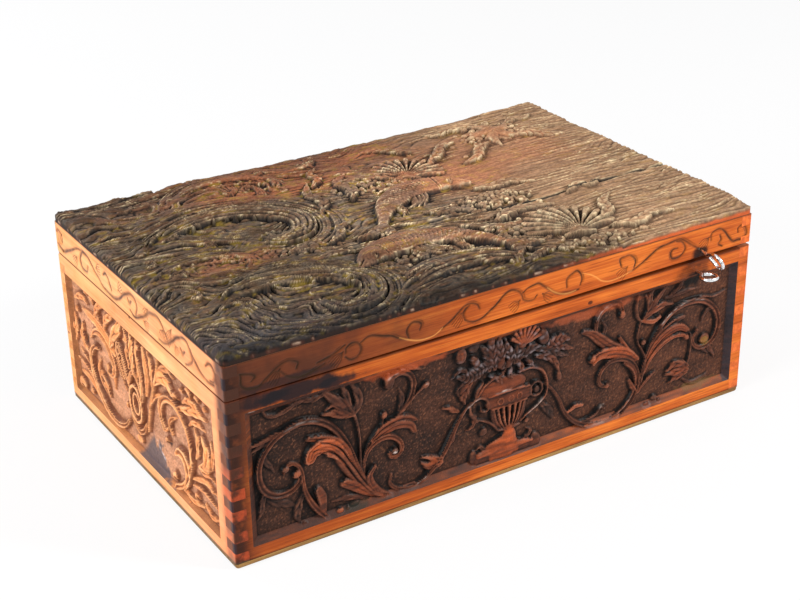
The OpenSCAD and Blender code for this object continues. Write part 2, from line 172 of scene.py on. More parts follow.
def cross_section(form, side, half):
    """Height across a stroke, 0 to 1. A tilt rises to one side; a cove is hollow with a high rim there."""
    v = unit(np.abs(side) / half)
    across = side / half
    if form == "round":
        return 0.35 + 0.65 * np.sqrt(1 - v ** 2)
    if form == "flat":
        return 1 - 0.25 * v ** 4
    if form == "hollow":
        return np.where(v < 0.5, 0.6 + 0.4 * (v / 0.5) ** 2, 1 - 0.3 * ((v - 0.5) / 0.5) ** 3)
    if form == "tilt":
        return 0.55 + 0.45 * unit((across + 1) / 2)
    if form == "tilt_back":
        return 0.55 + 0.45 * unit((1 - across) / 2)
    if form == "cove":
        across = -across
    elif form != "cove_back":
        raise ValueError(form)
    return 0.58 + 0.42 * np.exp(-((across - 0.72) / 0.24) ** 2) + 0.18 * np.exp(-((across + 0.5) / 0.3) ** 2)


def near_curve(field, points, widths, margin=1.5):
    """Window round a curve, with each cell's place along it, distance from it and half the width there."""
    curve = smooth_curve(points)
    where = field.window(curve, np.max(widths) / 2 + margin)
    place, side, _ = along_curve(field, where, curve)
    return where, place, side, np.maximum(spread(widths, place) / 2, 0.05)


def stroke(field, points, widths, heights, tone=0.0, form="round", grooves=0, base=0.0):
    """A raised stem or band along a curve. grooves runs that many thin lines along it."""
    where, place, side, half = near_curve(field, points, widths)
    height = spread(heights, place) * cross_section(form, side, half)
    if grooves:
        line = side / half * (grooves + 1) / 2
        if grooves % 2 == 0:
            inside = np.abs(line) <= grooves / 2
            line = line - 0.5
        else:
            inside = np.abs(np.round(line)) <= (grooves - 1) / 2 + 0.25
        away = np.abs(line - np.round(line)) / (grooves + 1) * 2 * half
        height = height - np.where(inside, 0.45 * np.exp(-(away / 0.45) ** 2), 0.0)
    edge = unit((half - np.abs(side)) / 0.7 + 0.35)
    field.lay(where, height, edge, tone, base)


def leaf(field, points, widths, heights, lobes=4, notch=0.35, sweep=1.0, tone=0.0, vein=0.5):
    """A lobed leaf along a spine, its veins sweeping towards the tip."""
    where, place, side, half = near_curve(field, points, widths)
    v = np.abs(side) / half
    phase = lobes * place - sweep * unit(v)
    gap = np.abs((phase - np.floor(phase)) - 0.5) * 2
    ridge = 0.62 + 0.38 * np.sqrt(unit(1 - gap ** 2 * 0.95))
    crown = 0.72 + 0.28 * np.sqrt(unit(1 - v ** 2))
    height = spread(heights, place) * ridge * crown
    height = height - vein * np.exp(-(side / 0.6) ** 2) * unit(1.1 - place)
    inside = half * (1 - notch * gap ** 5) - np.abs(side)
    field.lay(where, height, unit(inside / 0.7 + 0.35), tone)


def dome(field, centre, radii, turn, height, tone=0.0, power=0.5):
    """A rounded boss, bud or petal: an ellipse turned by an angle in degrees."""
    centre = np.asarray(centre, float)
    reach = max(radii) + 1.0
    where = field.window(np.array([centre - reach, centre + reach]), 0.0)
    dx = field.x[where] - centre[0]
    dy = field.y[where] - centre[1]
    c, s = unit_vector(turn)
    r = np.hypot((dx * c + dy * s) / radii[0], (-dx * s + dy * c) / radii[1])
    shape = unit(1 - r ** 2) ** power
    edge = unit((1 - r) * min(radii) / 0.7 + 0.35)
    field.lay(where, (0.3 + 0.7 * shape) * height, edge, tone)


def ring(field, centre, radius, width, height, tone, stretch=1.0):
    """A raised ring."""
    turns = np.linspace(0, 2 * np.pi, 25)
    points = np.column_stack([centre[0] + radius * np.cos(turns),
                              centre[1] + radius * stretch * np.sin(turns)])
    stroke(field, points, [width], [height], tone)


def groove(field, points, widths, depths):
    """A line cut into the surface."""
    where, place, side, half = near_curve(field, points, widths, max(widths) / 2 + 1.0)
    field.height[where] -= spread(depths, place) * np.exp(-(side / half) ** 2 * 1.5)


def blur(values, cells):
    """Soft average over about that many cells each way."""
    radius = max(int(round(cells)), 1)
    size = 2 * radius + 1
    for axis in (0, 0, 1, 1):
        rows = np.moveaxis(values, axis, 0)
        total = np.cumsum(np.pad(rows, [(radius + 1, radius), (0, 0)], mode="edge"), axis=0)
        values = np.moveaxis((total[size:] - total[:-size]) / size, 0, axis)
    return values


def soft_noise(shape, cells_y, cells_x, seed):
    """Smooth noise between -1 and 1, with features of about that many cells."""
    rng = np.random.default_rng(seed)
    coarse = rng.uniform(-1, 1, (int(shape[0] / cells_y) + 3, int(shape[1] / cells_x) + 3))
    y = np.arange(shape[0]) / cells_y
    x = np.arange(shape[1]) / cells_x
    j = y.astype(int)
    i = x.astype(int)
    y = y - j
    x = x - i
    y = (y * y * (3 - 2 * y))[:, None]
    x = (x * x * (3 - 2 * x))[None, :]
    near = coarse[j][:, i] * (1 - x) + coarse[j][:, i + 1] * x
    far = coarse[j + 1][:, i] * (1 - x) + coarse[j + 1][:, i + 1] * x
    return near * (1 - y) + far * y


def patches(shape, cells_y, cells_x, seed):
    """Smooth noise between 0 and 1."""
    return 0.5 + 0.5 * soft_noise(shape, cells_y, cells_x, seed)


def unit(values):
    """Values kept between 0 and 1."""
    return np.clip(values, 0, 1)


def bulge(x, y, centre, reach, power=1):
    """1 at a centre, falling to 0 away from it; a higher power makes it flatter inside."""
    away = ((x - centre[0]) / reach[0]) ** 2 + ((y - centre[1]) / reach[1]) ** 2
    return np.exp(-away ** power)


def unit_vector(degrees):
    """Cosine and sine of an angle in degrees."""
    return math.cos(math.radians(degrees)), math.sin(math.radians(degrees))


# The front panel's ornament. x runs from the box's left side, y is the height above the table.
# A band is its points, widths, heights, tone, form and number of grooves; the cove's rim is on the outer
# side of its turn. A leaf is its points, widths, heights, lobes and tone. A bud is its centre, radii, turn,
# height and tone.
LEFT_BANDS = (
    # Main stem and its volute
    ([(110, 12), (102, 16.5), (96, 21.5), (92, 27), (89, 33), (86.5, 40), (84, 48), (81, 56), (77.5, 63),
      (73, 70), (67, 76.5), (60, 81), (52, 83.5), (45, 83.5), (38, 81.5), (31, 78), (25.5, 73), (21.5, 67),
      (19.6, 60), (19.8, 53), (22, 46.5), (26.5, 41.5), (32, 39), (38, 39), (43, 41), (46.5, 45), (45.5, 49)],
     [2.5, 3, 3.4, 4, 4.8, 5.2, 5.2, 5, 5, 5.2, 4.8, 3.8], [2.6, 3.4, 3.8, 3.8, 3.7, 3.5, 3.4, 3.2],
     0.3, "cove", 0),
    # Big leaf: body and three lobes
    ([(106, 13), (99, 17.5), (93, 24), (88, 31), (84, 38.5), (80, 46), (76, 52.5), (72, 58)],
     [3, 5, 7, 9, 11, 12.5, 12, 9], [2.4, 3.0, 3.2, 3.2, 3.0, 2.8], 0.45, "round", 2),
    ([(82, 47), (77, 56), (71, 63), (64, 67.5), (58, 69.5), (54, 70.5)], [5, 8, 8.5, 7.5, 6, 4],
     [3, 3.5, 3.5, 3.4, 3.0], 0.6, "tilt_back", 1),
    ([(80, 46), (74, 55), (68, 61), (61, 62.5), (56, 60.5), (54.5, 57.5)], [5, 8, 10, 12, 11.5, 9],
     [3, 3.4, 3.7, 3.85, 3.7, 3.2], 1.0, "tilt_back", 3),
    ([(82, 43), (77, 50), (72, 54.5), (68, 56)], [4.5, 7, 7.5, 5.5], [2.8, 3.2, 3.2, 2.8], 0.7, "tilt", 1),
    # Stem of the hook in the volute
    ([(64, 12.5), (60, 17), (56, 22.5), (52.5, 29), (50, 36), (49, 43), (48.3, 50), (45.5, 55.5), (41, 57.8),
      (37, 56), (36, 52.5)], [3.5, 4.8, 4.6, 4, 3.4, 3, 3, 3, 2.8, 2.4], [2.8, 3.3, 3.3, 3.0, 2.8, 2.8, 2.6],
     0.5, "cove_back", 0),
    ([(63, 15), (62, 22), (61, 28), (59, 33)], [3, 6, 7.5, 6], [2.2, 3.0, 3.2], 0.4, "tilt", 0),
    ([(104, 13.5), (97, 17.5), (90, 22.5), (84, 27.5), (78, 31.5)], [3, 5, 6.5, 7.5, 7], [2.4, 3, 3.2, 3.3],
     0.7, "tilt_back", 1),
    ([(110, 12.5), (103, 16), (98, 21.5), (95.5, 27), (95.5, 32), (98.5, 36)], [3, 5, 6.5, 6.5, 5.5, 4],
     [2.4, 3, 3.2, 3.2], 0.5, "tilt", 1),
    # Upright stem
    ([(90, 27), (89.2, 38), (89, 50), (88.6, 62), (87, 72), (84.5, 80)], [1.6, 2, 2.4, 3.2], [2.2, 2.5, 2.9],
     0.15, "round", 0),
    # Fountain leaf and small volute
    ([(91, 26), (91, 36), (92.5, 46), (96, 54), (102, 60), (109, 64.5)], [2, 3, 3.6, 4, 4], [2.4, 3, 3.3],
     0.25, "cove_back", 0),
    ([(98, 56.5), (104, 61), (111, 63.5), (118, 64), (124, 63), (128.5, 60.5)], [4, 6.5, 7.5, 7, 6, 3.5],
     [3, 3.5, 3.5, 3.2, 2.6], 0.7, "tilt", 1),
    ([(99, 55), (106, 58.5), (114, 60.5), (121, 59.5), (126, 57), (128, 53)], [4, 6, 6.5, 6.5, 6, 4],
     [3, 3.3, 3.4, 3.3, 3], 0.55, "tilt", 1),
    ([(91.5, 40), (93.5, 47.5), (97.5, 52), (103, 54.5), (109, 54.5), (114, 52), (118, 47.5), (118.5, 42.5),
      (115.5, 39), (111.5, 39), (110, 42)], [2, 3.4, 4, 4.6, 4.4, 4, 3.4, 3, 2.6],
     [2.6, 3.2, 3.5, 3.4, 3.0, 2.8], 0.6, "cove_back", 0),
    ([(103, 62), (105, 66), (106, 70)], [1.8, 1.6], [2.4], 0.2, "round", 0),
    ([(109, 65), (117, 68), (124, 73.5), (130, 78.5), (135, 81.5)], [2.6, 2.4, 2.2, 2.8], [2.6], 0.35,
     "round", 0),
    # Hook under the top border
    ([(112, 65), (118, 68.5), (123.5, 74), (127, 81), (127.8, 88), (125, 93.5), (119.5, 96.3), (113.5, 95.5),
      (109.8, 92)], [2.4, 3, 3.6, 4, 4.2, 4.4, 4.6, 5, 5.5], [2.8, 3.1, 3.3, 3.6, 3.7], 0.25, "cove", 0),
    # Long stem to the urn
    ([(111, 25.5), (109.8, 21), (112, 17), (117, 13.8), (124, 12.6), (131, 13.6), (137, 16.8), (142, 20.5),
      (147, 25.5), (151.5, 31.5), (155.5, 38.5), (159.5, 45.5), (163.5, 51.5), (168, 56.5), (171.5, 59)],
     [2.2, 3, 3.4, 3.6, 3.4, 3.6, 4.4, 5, 4.6, 3.8, 2.8, 2.4], [2.2, 2.8, 3.3, 3.5, 3.3, 3, 2.8], 0.4,
     "cove_back", 0),
)
LEFT_LEAVES = (
    ([(22, 42), (20.5, 36), (20, 31), (17.5, 26.5)], [4, 5, 4, 1.2], [2.8, 2.4, 1.6], 2, 0.1),
    ([(24, 40), (29, 35), (37, 31), (44, 27)], [3, 6, 6, 2], [1.4, 1.6, 1.0], 3, 0.05),
    ([(38, 82.5), (29, 80), (20, 78.6), (13, 77.5)], [3, 4.5, 4, 1.8], [2.8, 3.2, 2.4], 1, 0.3),
    ([(28, 79), (22, 76.5), (18, 75), (15, 73)], [3, 4.5, 3.5, 1.2], [2.8, 2.8, 2.0], 1, 0.15),
    ([(23, 70), (25, 64), (28, 60), (30, 56)], [2.5, 5, 4, 1.5], [2.2, 2.2, 1.4], 2, 0.05),
    ([(50, 99.5), (42, 96), (34, 93.5), (27, 95), (23.5, 101)], [2, 4, 3.6, 3, 1.4], [2.4, 2.6, 1.8],
     3, 0.15),
    ([(65, 98), (58, 96.5), (50, 98), (42, 95)], [3, 5, 4, 1.5], [2.6, 2.6, 1.8], 4, 0.15),
    ([(84, 79), (79, 85), (73, 91), (65, 99)], [4, 8, 8, 3], [3.0, 3.2, 2.6], 1, 0.2),
    ([(84, 78), (77, 80), (71, 83), (64, 84)], [3, 6, 6, 2], [3.2, 3.2, 2.4], 2, 0.4),
    ([(77, 84), (73, 87.5), (70, 88.5), (66.5, 86.5)], [3, 4, 3.5, 1.5], [2.8, 2.6, 2.0], 1, 0.3),
    ([(85, 79), (89, 85), (88, 92), (84, 99)], [4, 7, 6, 2], [3.0, 3.0, 2.2], 2, 0.1),
    ([(84, 80), (82, 87), (80, 94), (77, 101)], [3, 5, 5, 2], [2.8, 2.8, 2.0], 2, 0.1),
    ([(48, 33), (45, 26), (44, 20), (46, 14)], [3, 6, 6, 2], [2.0, 2.2, 1.4], 3, 0.05),
    ([(94, 15), (86, 18.5), (78, 20.5), (69, 21)], [2, 4.5, 4.5, 1.5], [1.6, 1.8, 1.2], 2, 0.3),
    ([(118, 71), (119.5, 76), (119.5, 81), (118, 85)], [3, 4.5, 4, 1.5], [2.2, 2.2, 1.6], 2, 0.1),
    ([(119, 100), (124, 99), (129, 96.5), (134, 94)], [3, 5, 4, 1.5], [2.6, 2.4, 1.6], 2, 0.35),
    ([(147, 26), (142, 27.5), (138, 30), (134, 31)], [4, 5, 4, 1.8], [3.2, 3.0, 2.4], 1, 0.75),
    ([(147, 24), (141, 24.5), (137, 25), (133.5, 27)], [4, 5.5, 4.5, 2], [3.2, 3.0, 2.4], 1, 0.8),
    ([(146, 22), (141, 21.5), (138, 22), (135.5, 23.5)], [3, 4.5, 3.5, 1.5], [3.0, 2.6, 2.0], 1, 0.65),
    ([(154, 34), (157, 36), (158, 40), (157, 45)], [2, 3, 2.6, 1], [2.6, 2.2], 1, 0.35),
    ([(160, 56.5), (157, 58), (154, 60.5), (150.5, 61)], [3, 4.5, 4, 1.8], [2.8, 2.8, 2.2], 1, 0.7),
)
LEFT_BUDS = (
    ((44.5, 49.8), (3.4, 3.0), 40, 3.6, 0.8), ((37.2, 55.4), (3.0, 2.6), 0, 3.2, 0.1),
    ((113.3, 43), (3.0, 2.7), 0, 3.4, 0.0), ((106.3, 70.8), (2.7, 3.0), 0, 3.2, 0.6),
    ((137, 82.3), (3.4, 2.4), 20, 3.0, 0.6), ((110, 92.8), (4.6, 5.2), 0, 3.8, 0.2),
    ((111, 89.6), (1.7, 1.7), 0, 3.9, 0.0), ((73.5, 13.6), (3.2, 2.4), 0, 2.8, 0.9),
    ((84, 14.6), (4.4, 2.2), 10, 2.2, 0.0), ((79, 13.4), (2.0, 1.6), 0, 2.4, 0.2),
    ((48.5, 13.6), (2.6, 1.3), 0, 2.2, 0.3),
)
RIGHT_BANDS = (
    # Scroll that leaves the urn, dips to the border and curls in
    ([(229, 56), (234, 51), (238.5, 45), (242, 38.5), (244.5, 32), (248, 26), (253, 20.5), (259, 16.2),
      (266, 13.2), (274, 11.8), (282, 11.5), (290, 13), (297, 17), (302.5, 22.5), (306, 29.5), (307, 37),
      (305.5, 44), (301.5, 50), (295.5, 54), (288, 55.8), (281, 55), (275.8, 51), (274, 45.5), (275.5, 40.5),
      (280, 38.2)], [2.4, 2.6, 3, 3.4, 4, 4.4, 4.2, 4.4, 4.8, 5, 4.6, 4.2, 4, 4.2, 4.2, 3.6, 3],
     [2.4, 2.8, 3.2, 3.4, 3.6, 3.6, 3.4, 3.2, 3, 2.8], 0.3, "cove", 0),
    ([(306.5, 33), (305, 41), (301.5, 47), (296, 50.5)], [3, 4.5, 4.5, 3], [3.2, 3.7, 3.6, 3],
     0.55, "tilt", 1),
    ([(305, 52), (299, 57), (291, 61), (282, 63), (274, 63.5), (268.5, 62)], [5, 7.5, 9.5, 9.5, 8.5, 6.5],
     [3, 3.4, 3.7, 3.7, 3.5, 3.3], 0.95, "tilt_back", 2),
    ([(278, 62.5), (272, 61.5), (269, 58.5)], [4, 4.5, 3], [3.3, 3.5, 3.0], 0.8, "round", 1),
    ([(297, 59), (289, 64), (281, 69), (274, 75), (267, 81), (260.5, 84)], [5, 7.5, 8.5, 8.5, 7, 4],
     [3, 3.5, 3.5, 3.3, 2.8], 0.5, "tilt_back", 2),
    ([(300, 57), (296, 62), (293, 67), (291, 71)], [4, 5, 4.4, 2.6], [3, 3.5, 3.4, 2.8], 0.9, "tilt_back", 1),
    # Hook under the top border
    ([(274, 72), (271, 78), (269.8, 85), (271, 91.5), (275.5, 96.5), (282, 99), (288, 98), (290.5, 93.5),
      (291.5, 89)], [2.6, 3, 3.4, 4, 4.6, 4.4, 4, 3.6, 3.8], [2.8, 3.1, 3.5, 3.8, 3.7, 3.3], 0.25,
     "cove_back", 0),
    # Upright stem and its opening bud
    ([(311, 33), (312.5, 42), (313, 50), (310, 57), (306.5, 63), (305.5, 70), (307, 77)],
     [2.4, 2.6, 2.4, 2.0, 1.8, 2, 2.4], [2.4, 2.8, 2.6, 2.4], 0.25, "round", 0),
    ([(308, 78.5), (304.5, 84), (303.5, 91), (305, 98)], [2, 3, 3, 1.6], [2.8, 3, 2.4], 0.2, "tilt_back", 0),
    ([(309, 79), (313, 84), (314, 90), (312.5, 96)], [2, 3, 3, 1.5], [2.8, 3, 2.2], 0.35, "tilt", 0),
    ([(309, 79), (314, 77.5), (319, 76.5), (323.5, 78)], [2.5, 4.5, 5, 3.5], [2.8, 3.3, 3], 0.85, "round", 1),
    # Big volute
    ([(309, 28), (311.5, 40), (314, 50), (317.5, 59), (322.5, 67), (328.5, 74), (336, 79.3), (344.5, 81.6),
      (353, 82), (361, 80.3), (368.5, 76), (374.5, 69.5), (377.3, 62), (377, 54.5), (373.8, 48), (368, 44.3),
      (361.5, 44.3), (356.5, 48), (355.5, 53.5), (358.5, 58)],
     [2.6, 3.4, 3.8, 4.2, 4.8, 5, 5, 5, 5, 4.8, 4.6, 4.6, 4.4, 4, 3.6, 3.2],
     [2.6, 3.2, 3.5, 3.8, 3.9, 3.7, 3.5, 3.4, 3.3, 3], 0.4, "cove_back", 0),
    # Three lobes inside the volute
    ([(314, 50), (319, 58), (326, 64.5), (334, 69), (341, 71.3), (345.5, 71.8)], [3, 6, 7, 6.5, 5.5, 3.5],
     [3, 3.3, 3.3, 3, 2.6], 0.4, "tilt", 1),
    ([(315, 48), (321, 56.5), (329, 62.5), (337, 65.3), (344, 64.8), (349, 61.5)], [3, 6.5, 8, 8, 7, 4.5],
     [3, 3.5, 3.7, 3.6, 3.2], 0.75, "tilt", 2),
    ([(314, 40), (317.5, 47), (323, 53), (331, 57.5), (339, 59.3), (346, 58), (349, 55)],
     [3, 4, 4.5, 4.6, 4.4, 4, 3], [2.8, 3.2, 3.5, 3.5, 3.3], 0.85, "tilt", 1),
    # Thin stems, small leaves and tips
    ([(352, 84), (362, 83), (373, 80.5), (384, 82.5)], [1.6, 2.4, 2, 1.2], [2, 2.2, 1.6], 0.3, "round", 0),
    ([(347, 24), (350.5, 31), (353, 39), (354, 48), (353.5, 56)], [2, 2.4, 2.6, 2.2], [2.2, 2.4, 2.2], 0.2,
     "round", 0),
    ([(309, 25), (313, 30), (318, 34), (322.5, 36)], [2.6, 4, 4, 2.2], [2.6, 3, 2.8], 0.55, "tilt", 1),
    ([(306, 26), (303, 31), (300.5, 36)], [3, 4, 2.6], [3.2, 3.4, 2.8], 0.5, "tilt_back", 1),
    ([(249, 29), (254, 31), (259.5, 30.5)], [3, 4.5, 3.5], [3], 0.75, "round", 1),
    ([(258, 17.5), (265, 17.2), (271, 19), (276, 23), (278.5, 22)], [2, 3.4, 4, 3.4, 2.4], [2.6, 3.3, 3.5, 3],
     0.1, "tilt", 0),
)
RIGHT_LEAVES = (
    ([(276, 74), (277, 79), (278, 83), (276, 87)], [3, 4.5, 4, 1.5], [2.2, 2.2, 1.6], 2, 0.1),
    ([(311, 81), (318, 84), (326, 86.5), (335, 85)], [3, 6, 5.5, 2], [3.0, 3.0, 2.2], 2, 0.45),
    ([(312, 83), (318, 89), (323, 94.5), (329, 99)], [3, 6, 5.5, 2], [3.0, 3.2, 2.4], 1, 0.3),
    ([(314, 87), (315, 92), (316, 97), (319, 101)], [3, 5, 4, 1.5], [2.6, 2.6, 1.8], 2, 0.15),
    ([(334, 92), (340, 95), (343, 99), (342, 102)], [2, 4, 4, 1.5], [2.0, 2.2, 1.6], 2, 0.2),
    ([(330, 90), (340, 90.5), (350, 91), (358, 90)], [2, 3.5, 3, 1.2], [1.6, 1.8, 1.2], 2, 0.2),
    ([(368, 44), (372, 40), (375, 36), (377, 32.5)], [3, 5, 4, 1.2], [2.6, 2.6, 1.6], 1, 0.25),
    ([(363, 44.5), (367, 40.5), (370, 37.5)], [2.5, 4, 1.5], [2.4, 2.0], 1, 0.2),
    ([(372, 73), (367, 71), (364, 68), (363, 64)], [2.5, 4, 3.6, 1.5], [2.4, 2.4, 1.8], 1, 0.15),
    ([(352, 33), (346, 36), (340, 37), (334, 34)], [3, 6.5, 6.5, 2.5], [2.6, 2.8, 2.2], 2, 0.55),
    ([(352, 30), (345, 31), (339, 31), (333, 31)], [3, 6, 6, 2], [2.8, 3.0, 2.2], 2, 0.65),
    ([(351, 28), (346, 27), (341, 26), (337, 24)], [3, 5.5, 5.5, 2], [2.6, 2.6, 2.0], 2, 0.55),
    ([(350, 22), (356, 18), (364, 18), (372, 21)], [2, 4, 4, 1.5], [1.8, 2.0, 1.4], 2, 0.2),
)
RIGHT_BUDS = (
    ((280.6, 38.8), (2.7, 2.1), 0, 3.2, 0.6), ((291.4, 88.8), (2.9, 3.3), 0, 3.6, 0.8),
    ((311, 62.5), (2.6, 2.4), 0, 3.0, 0.3), ((366, 50), (4.8, 4.2), 0, 2.9, 0.5),
    ((349, 56), (2.6, 2.4), 0, 3.4, 0.7), ((316, 12.8), (4, 2.4), 0, 2.6, 0.8),
    ((323, 16.5), (3.2, 2.6), 0, 2.6, 0.0), ((327, 13.4), (2.6, 1.8), 0, 2.6, 0.3),
    ((268, 63), (2.6, 3.2), 0, 3.8, 1.0),
)


def dome_hole(field, centre, radii, depth):
    """A small round hollow."""
    field.height = field.height - depth * bulge(field.x, field.y, centre, radii, 2)


def glint(field, colours, points, width, colour, amount):
    """A pale, broken line along a curve, mostly a painted highlight along a shining crest."""
    where, place, side, _ = near_curve(field, points, [0.0], width * 3)
    broken = patches(place.shape, 2, 5, len(points))
    share = np.exp(-(side / width) ** 2) * unit(np.sin(np.pi * unit(place)) * 1.6)
    share = share * unit(broken * 1.8 - 0.3) * amount
    colours[where] = mixed(colours[where], colour, unit(share))


def carve(field, bands, leaves, buds):
    """Carves one half's bands, leaves and buds."""
    for points, widths, heights, tone, form, grooves in bands:
        stroke(field, points, widths, heights, tone, form, grooves)
    for points, widths, heights, lobes, tone in leaves:
        leaf(field, points, widths, heights, lobes, 0.22, 0.8, tone)
    for centre, radii, turn, height, tone in buds:
        dome(field, centre, radii, turn, height, tone)


def urn(field):
    """The urn in the middle, with its handles and flowers."""
    # Foot
    stroke(field, [(176, 15), (188, 14.5), (200, 14.3), (212, 14.5), (222, 14.5)], [6.5], [2.8], 0.3, "flat")
    stroke(field, [(177, 19), (188, 19), (200, 19), (212, 18.5), (218, 18)], [5.5, 6.5, 7, 6, 3], [3.4], 0.9)
    dome(field, (172.5, 18), (3.4, 6.0), 0, 2.6, 0.2)
    dome(field, (222, 17), (4.6, 5.6), 30, 2.6, 0.15)
    stroke(field, [(196, 15), (198, 21), (200, 27), (200, 31)], [38, 29, 15, 9], [3.2, 3.7, 3.4], 1.0)
    leaf(field, [(212, 20), (216, 22), (218, 25), (215, 27)], [3, 4, 3, 1], [2.6, 2.0], 2, tone=0.2)
    leaf(field, [(186, 20), (181, 22), (178, 24.5), (174, 23)], [3, 4, 3, 1], [2.6, 2.0], 2, tone=0.2)
    for step in range(9):
        dome(field, (179 + step * 4.9, 12.6), (1.9, 1.1), 0, 2.9, 0.35)
    # Bowl with flutes
    for step in range(9):
        t = (step - 4) / 4.0
        low = 200 + 7.2 * t
        high = 200 + 13.4 * math.sin(t * math.pi / 2 * 0.92) / math.sin(math.pi / 2 * 0.92)
        rise = 3.7 - 1.5 * abs(t) ** 2
        stroke(field, [(low, 33.5), ((low + high) / 2 + 1.2 * t, 40), (high, 49)],
               [1.9, 3.0, 3.7 - 1.3 * abs(t)], [rise * 0.85, rise], 0.8 - 0.6 * abs(t))
    stroke(field, [(192.5, 33), (200, 32.2), (207.5, 33)], [2.4], [3.2], 0.3)
    # Band with rings
    stroke(field, [(187, 54.5), (194, 54.5), (200, 54.5), (207, 54.5), (214, 54.5)], [9.5],
           [2.6, 3.2, 3.4, 3.2, 2.6], 0.35, "flat")
    stroke(field, [(187.5, 50), (200, 49.6), (213.5, 50)], [1.8], [3.2, 3.8, 3.2], 0.5)
    for x in (193.0, 201.0, 207.6):
        ring(field, (x, 54.4), 2.1, 1.3, 3.9, 0.6)
    stroke(field, [(185, 59.8), (193, 60.2), (200, 60.3), (208, 60), (215.5, 59)], [2.4],
           [3.0, 3.7, 3.9, 3.6, 3.0], 0.8)
    # Lip
    dome(field, (194.5, 64.0), (20.0, 8.0), 0, 3.4, 0.5, 0.5)
    stroke(field, [(176, 63), (182, 70), (191, 73)], [2.2, 2.8, 2], [3.0, 3.4, 3.0], 0.5)
    stroke(field, [(174.5, 61), (175.5, 66), (179, 71)], [3.5, 4, 3], [2.6, 3.0], 0.3)
    # Right handle
    stroke(field, [(208, 71.5), (215, 71.8), (221, 70.3), (226, 67), (229, 62), (230.5, 55), (229, 47.5),
                   (225, 44), (220, 41), (214, 38), (210, 35)],
           [2.6, 2.6, 2.8, 2.8, 2.6, 2.4, 2.2, 2.4, 2.0], [3.4, 3.2, 3.0, 2.6], 0.45)
    ring(field, (221.5, 54.8), 5.0, 2.4, 2.9, 0.1)
    dome(field, (222.3, 53.8), (2.9, 2.9), 0, 2.7, 0.05)
    dome(field, (214.5, 33.5), (2.6, 2.0), 40, 2.8, 0.3)
    leaf(field, [(226, 43), (229, 39), (233, 35), (236, 29)], [2, 6, 7, 3], [1.8, 2.0, 1.5], 3, 0.2, tone=0.0)
    # Left handle
    stroke(field, [(171, 58.5), (174, 60.6), (179, 60.6), (183, 57.5), (184.3, 53), (182.5, 50), (178.5, 51),
                   (178, 54)], [2.4, 2.6, 2.4, 2.0, 1.8], [2.8, 3.0, 2.8, 2.6], 0.3)
    stroke(field, [(175, 45.5), (180, 43.5), (185, 40.5), (189, 36.5), (191, 33.5)], [2.0, 2.4, 2.0], [2.6],
           0.3)
    stroke(field, [(170, 57), (170.5, 52), (173, 48), (175, 45)], [2.6, 3.6, 3.2], [2.4], 0.25)
    leaf(field, [(174, 48), (173, 44), (171, 41), (168, 40)], [3, 4, 3, 1], [2.4, 2.0], 2, tone=0.4)
    dome(field, (180.5, 35), (3.6, 3.0), 30, 2.4, 0.15)
    # Leaves over the lip
    for points, width, tone in (
            ([(186, 74), (190, 72), (193, 69), (194, 66)], 5, 0.4),
            ([(201, 76), (200, 72), (202, 69)], 5, 0.3), ([(206, 80), (209, 75), (211, 71)], 6, 0.35),
            ([(213, 79), (216, 76), (219, 72)], 5, 0.2), ([(196, 76), (193, 73), (192, 71)], 5, 0.3)):
        leaf(field, points, [2, width, 1.5], [3.9, 3.9, 3.7], 2, 0.2, tone=tone)
    # Flowers and foliage, from the left
    dome(field, (163, 95.5), (4.4, 6.0), 0, 3.7, 0.35, 0.4)
    dome(field, (163, 95.5), (2.0, 4.6), 0, 3.9, 0.55, 0.4)
    dome(field, (173, 98.5), (4.6, 4.0), 20, 2.8, 0.1)
    dome(field, (173.5, 88.5), (5.6, 3.2), 125, 3.6, 0.3, 0.4)
    leaf(field, [(184, 83), (178, 82), (170, 79), (161, 80.5)], [5, 11, 10, 3], [3.4, 3.6, 2.8], 8, 0.15, 0.8,
         0.15, vein=0.7)
    leaf(field, [(166, 84), (162, 85), (159, 83), (157, 81)], [3, 4, 3, 1], [2.8, 2.2], 2, tone=0.2)
    leaf(field, [(170, 74), (167, 71), (165, 66), (166, 61)], [4, 8, 7, 2], [2.8, 3.0, 2.4], 3, 0.3, tone=0.4)
    leaf(field, [(169, 75), (163, 73), (161, 70), (162, 66)], [3, 5, 4, 1], [2.4, 2.2], 2, 0.3, tone=0.15)
    leaf(field, [(184, 80), (184, 87), (182, 93), (178, 97)], [4, 8, 7, 2], [3.4, 3.2, 2.4], 4, 0.3,
         tone=0.15)
    leaf(field, [(188, 80), (187, 88), (186, 96), (183, 102)], [4, 8, 7, 2], [3.6, 3.4, 2.8], 4, 0.3,
         tone=0.3)
    leaf(field, [(194, 79), (193, 87), (192, 94), (192, 102)], [4, 8, 7, 3], [3.7, 3.6, 3.0], 4, 0.3,
         tone=0.25)
    leaf(field, [(200, 80), (200, 87), (198, 92), (197, 97)], [4, 8, 6, 2], [3.8, 3.4, 2.8], 4, 0.3, tone=0.2)
    leaf(field, [(196, 79), (190, 83), (184, 85), (178, 86)], [4, 8, 6, 2], [3.6, 3.2, 2.4], 4, 0.3, tone=0.1)
    leaf(field, [(204, 80), (206, 86), (209, 90), (214, 92)], [4, 9, 7, 3], [3.7, 3.3, 2.4], 4, 0.3,
         tone=0.15)
    leaf(field, [(206, 81), (213, 84), (219, 86), (224, 85)], [4, 8, 7, 2], [3.5, 3.2, 2.6], 4, 0.3, tone=0.2)
    dome(field, (193, 82), (4.6, 3.4), 60, 3.9, 0.4)
    dome(field, (199, 79.5), (3.6, 3.4), 0, 3.8, 0.3)
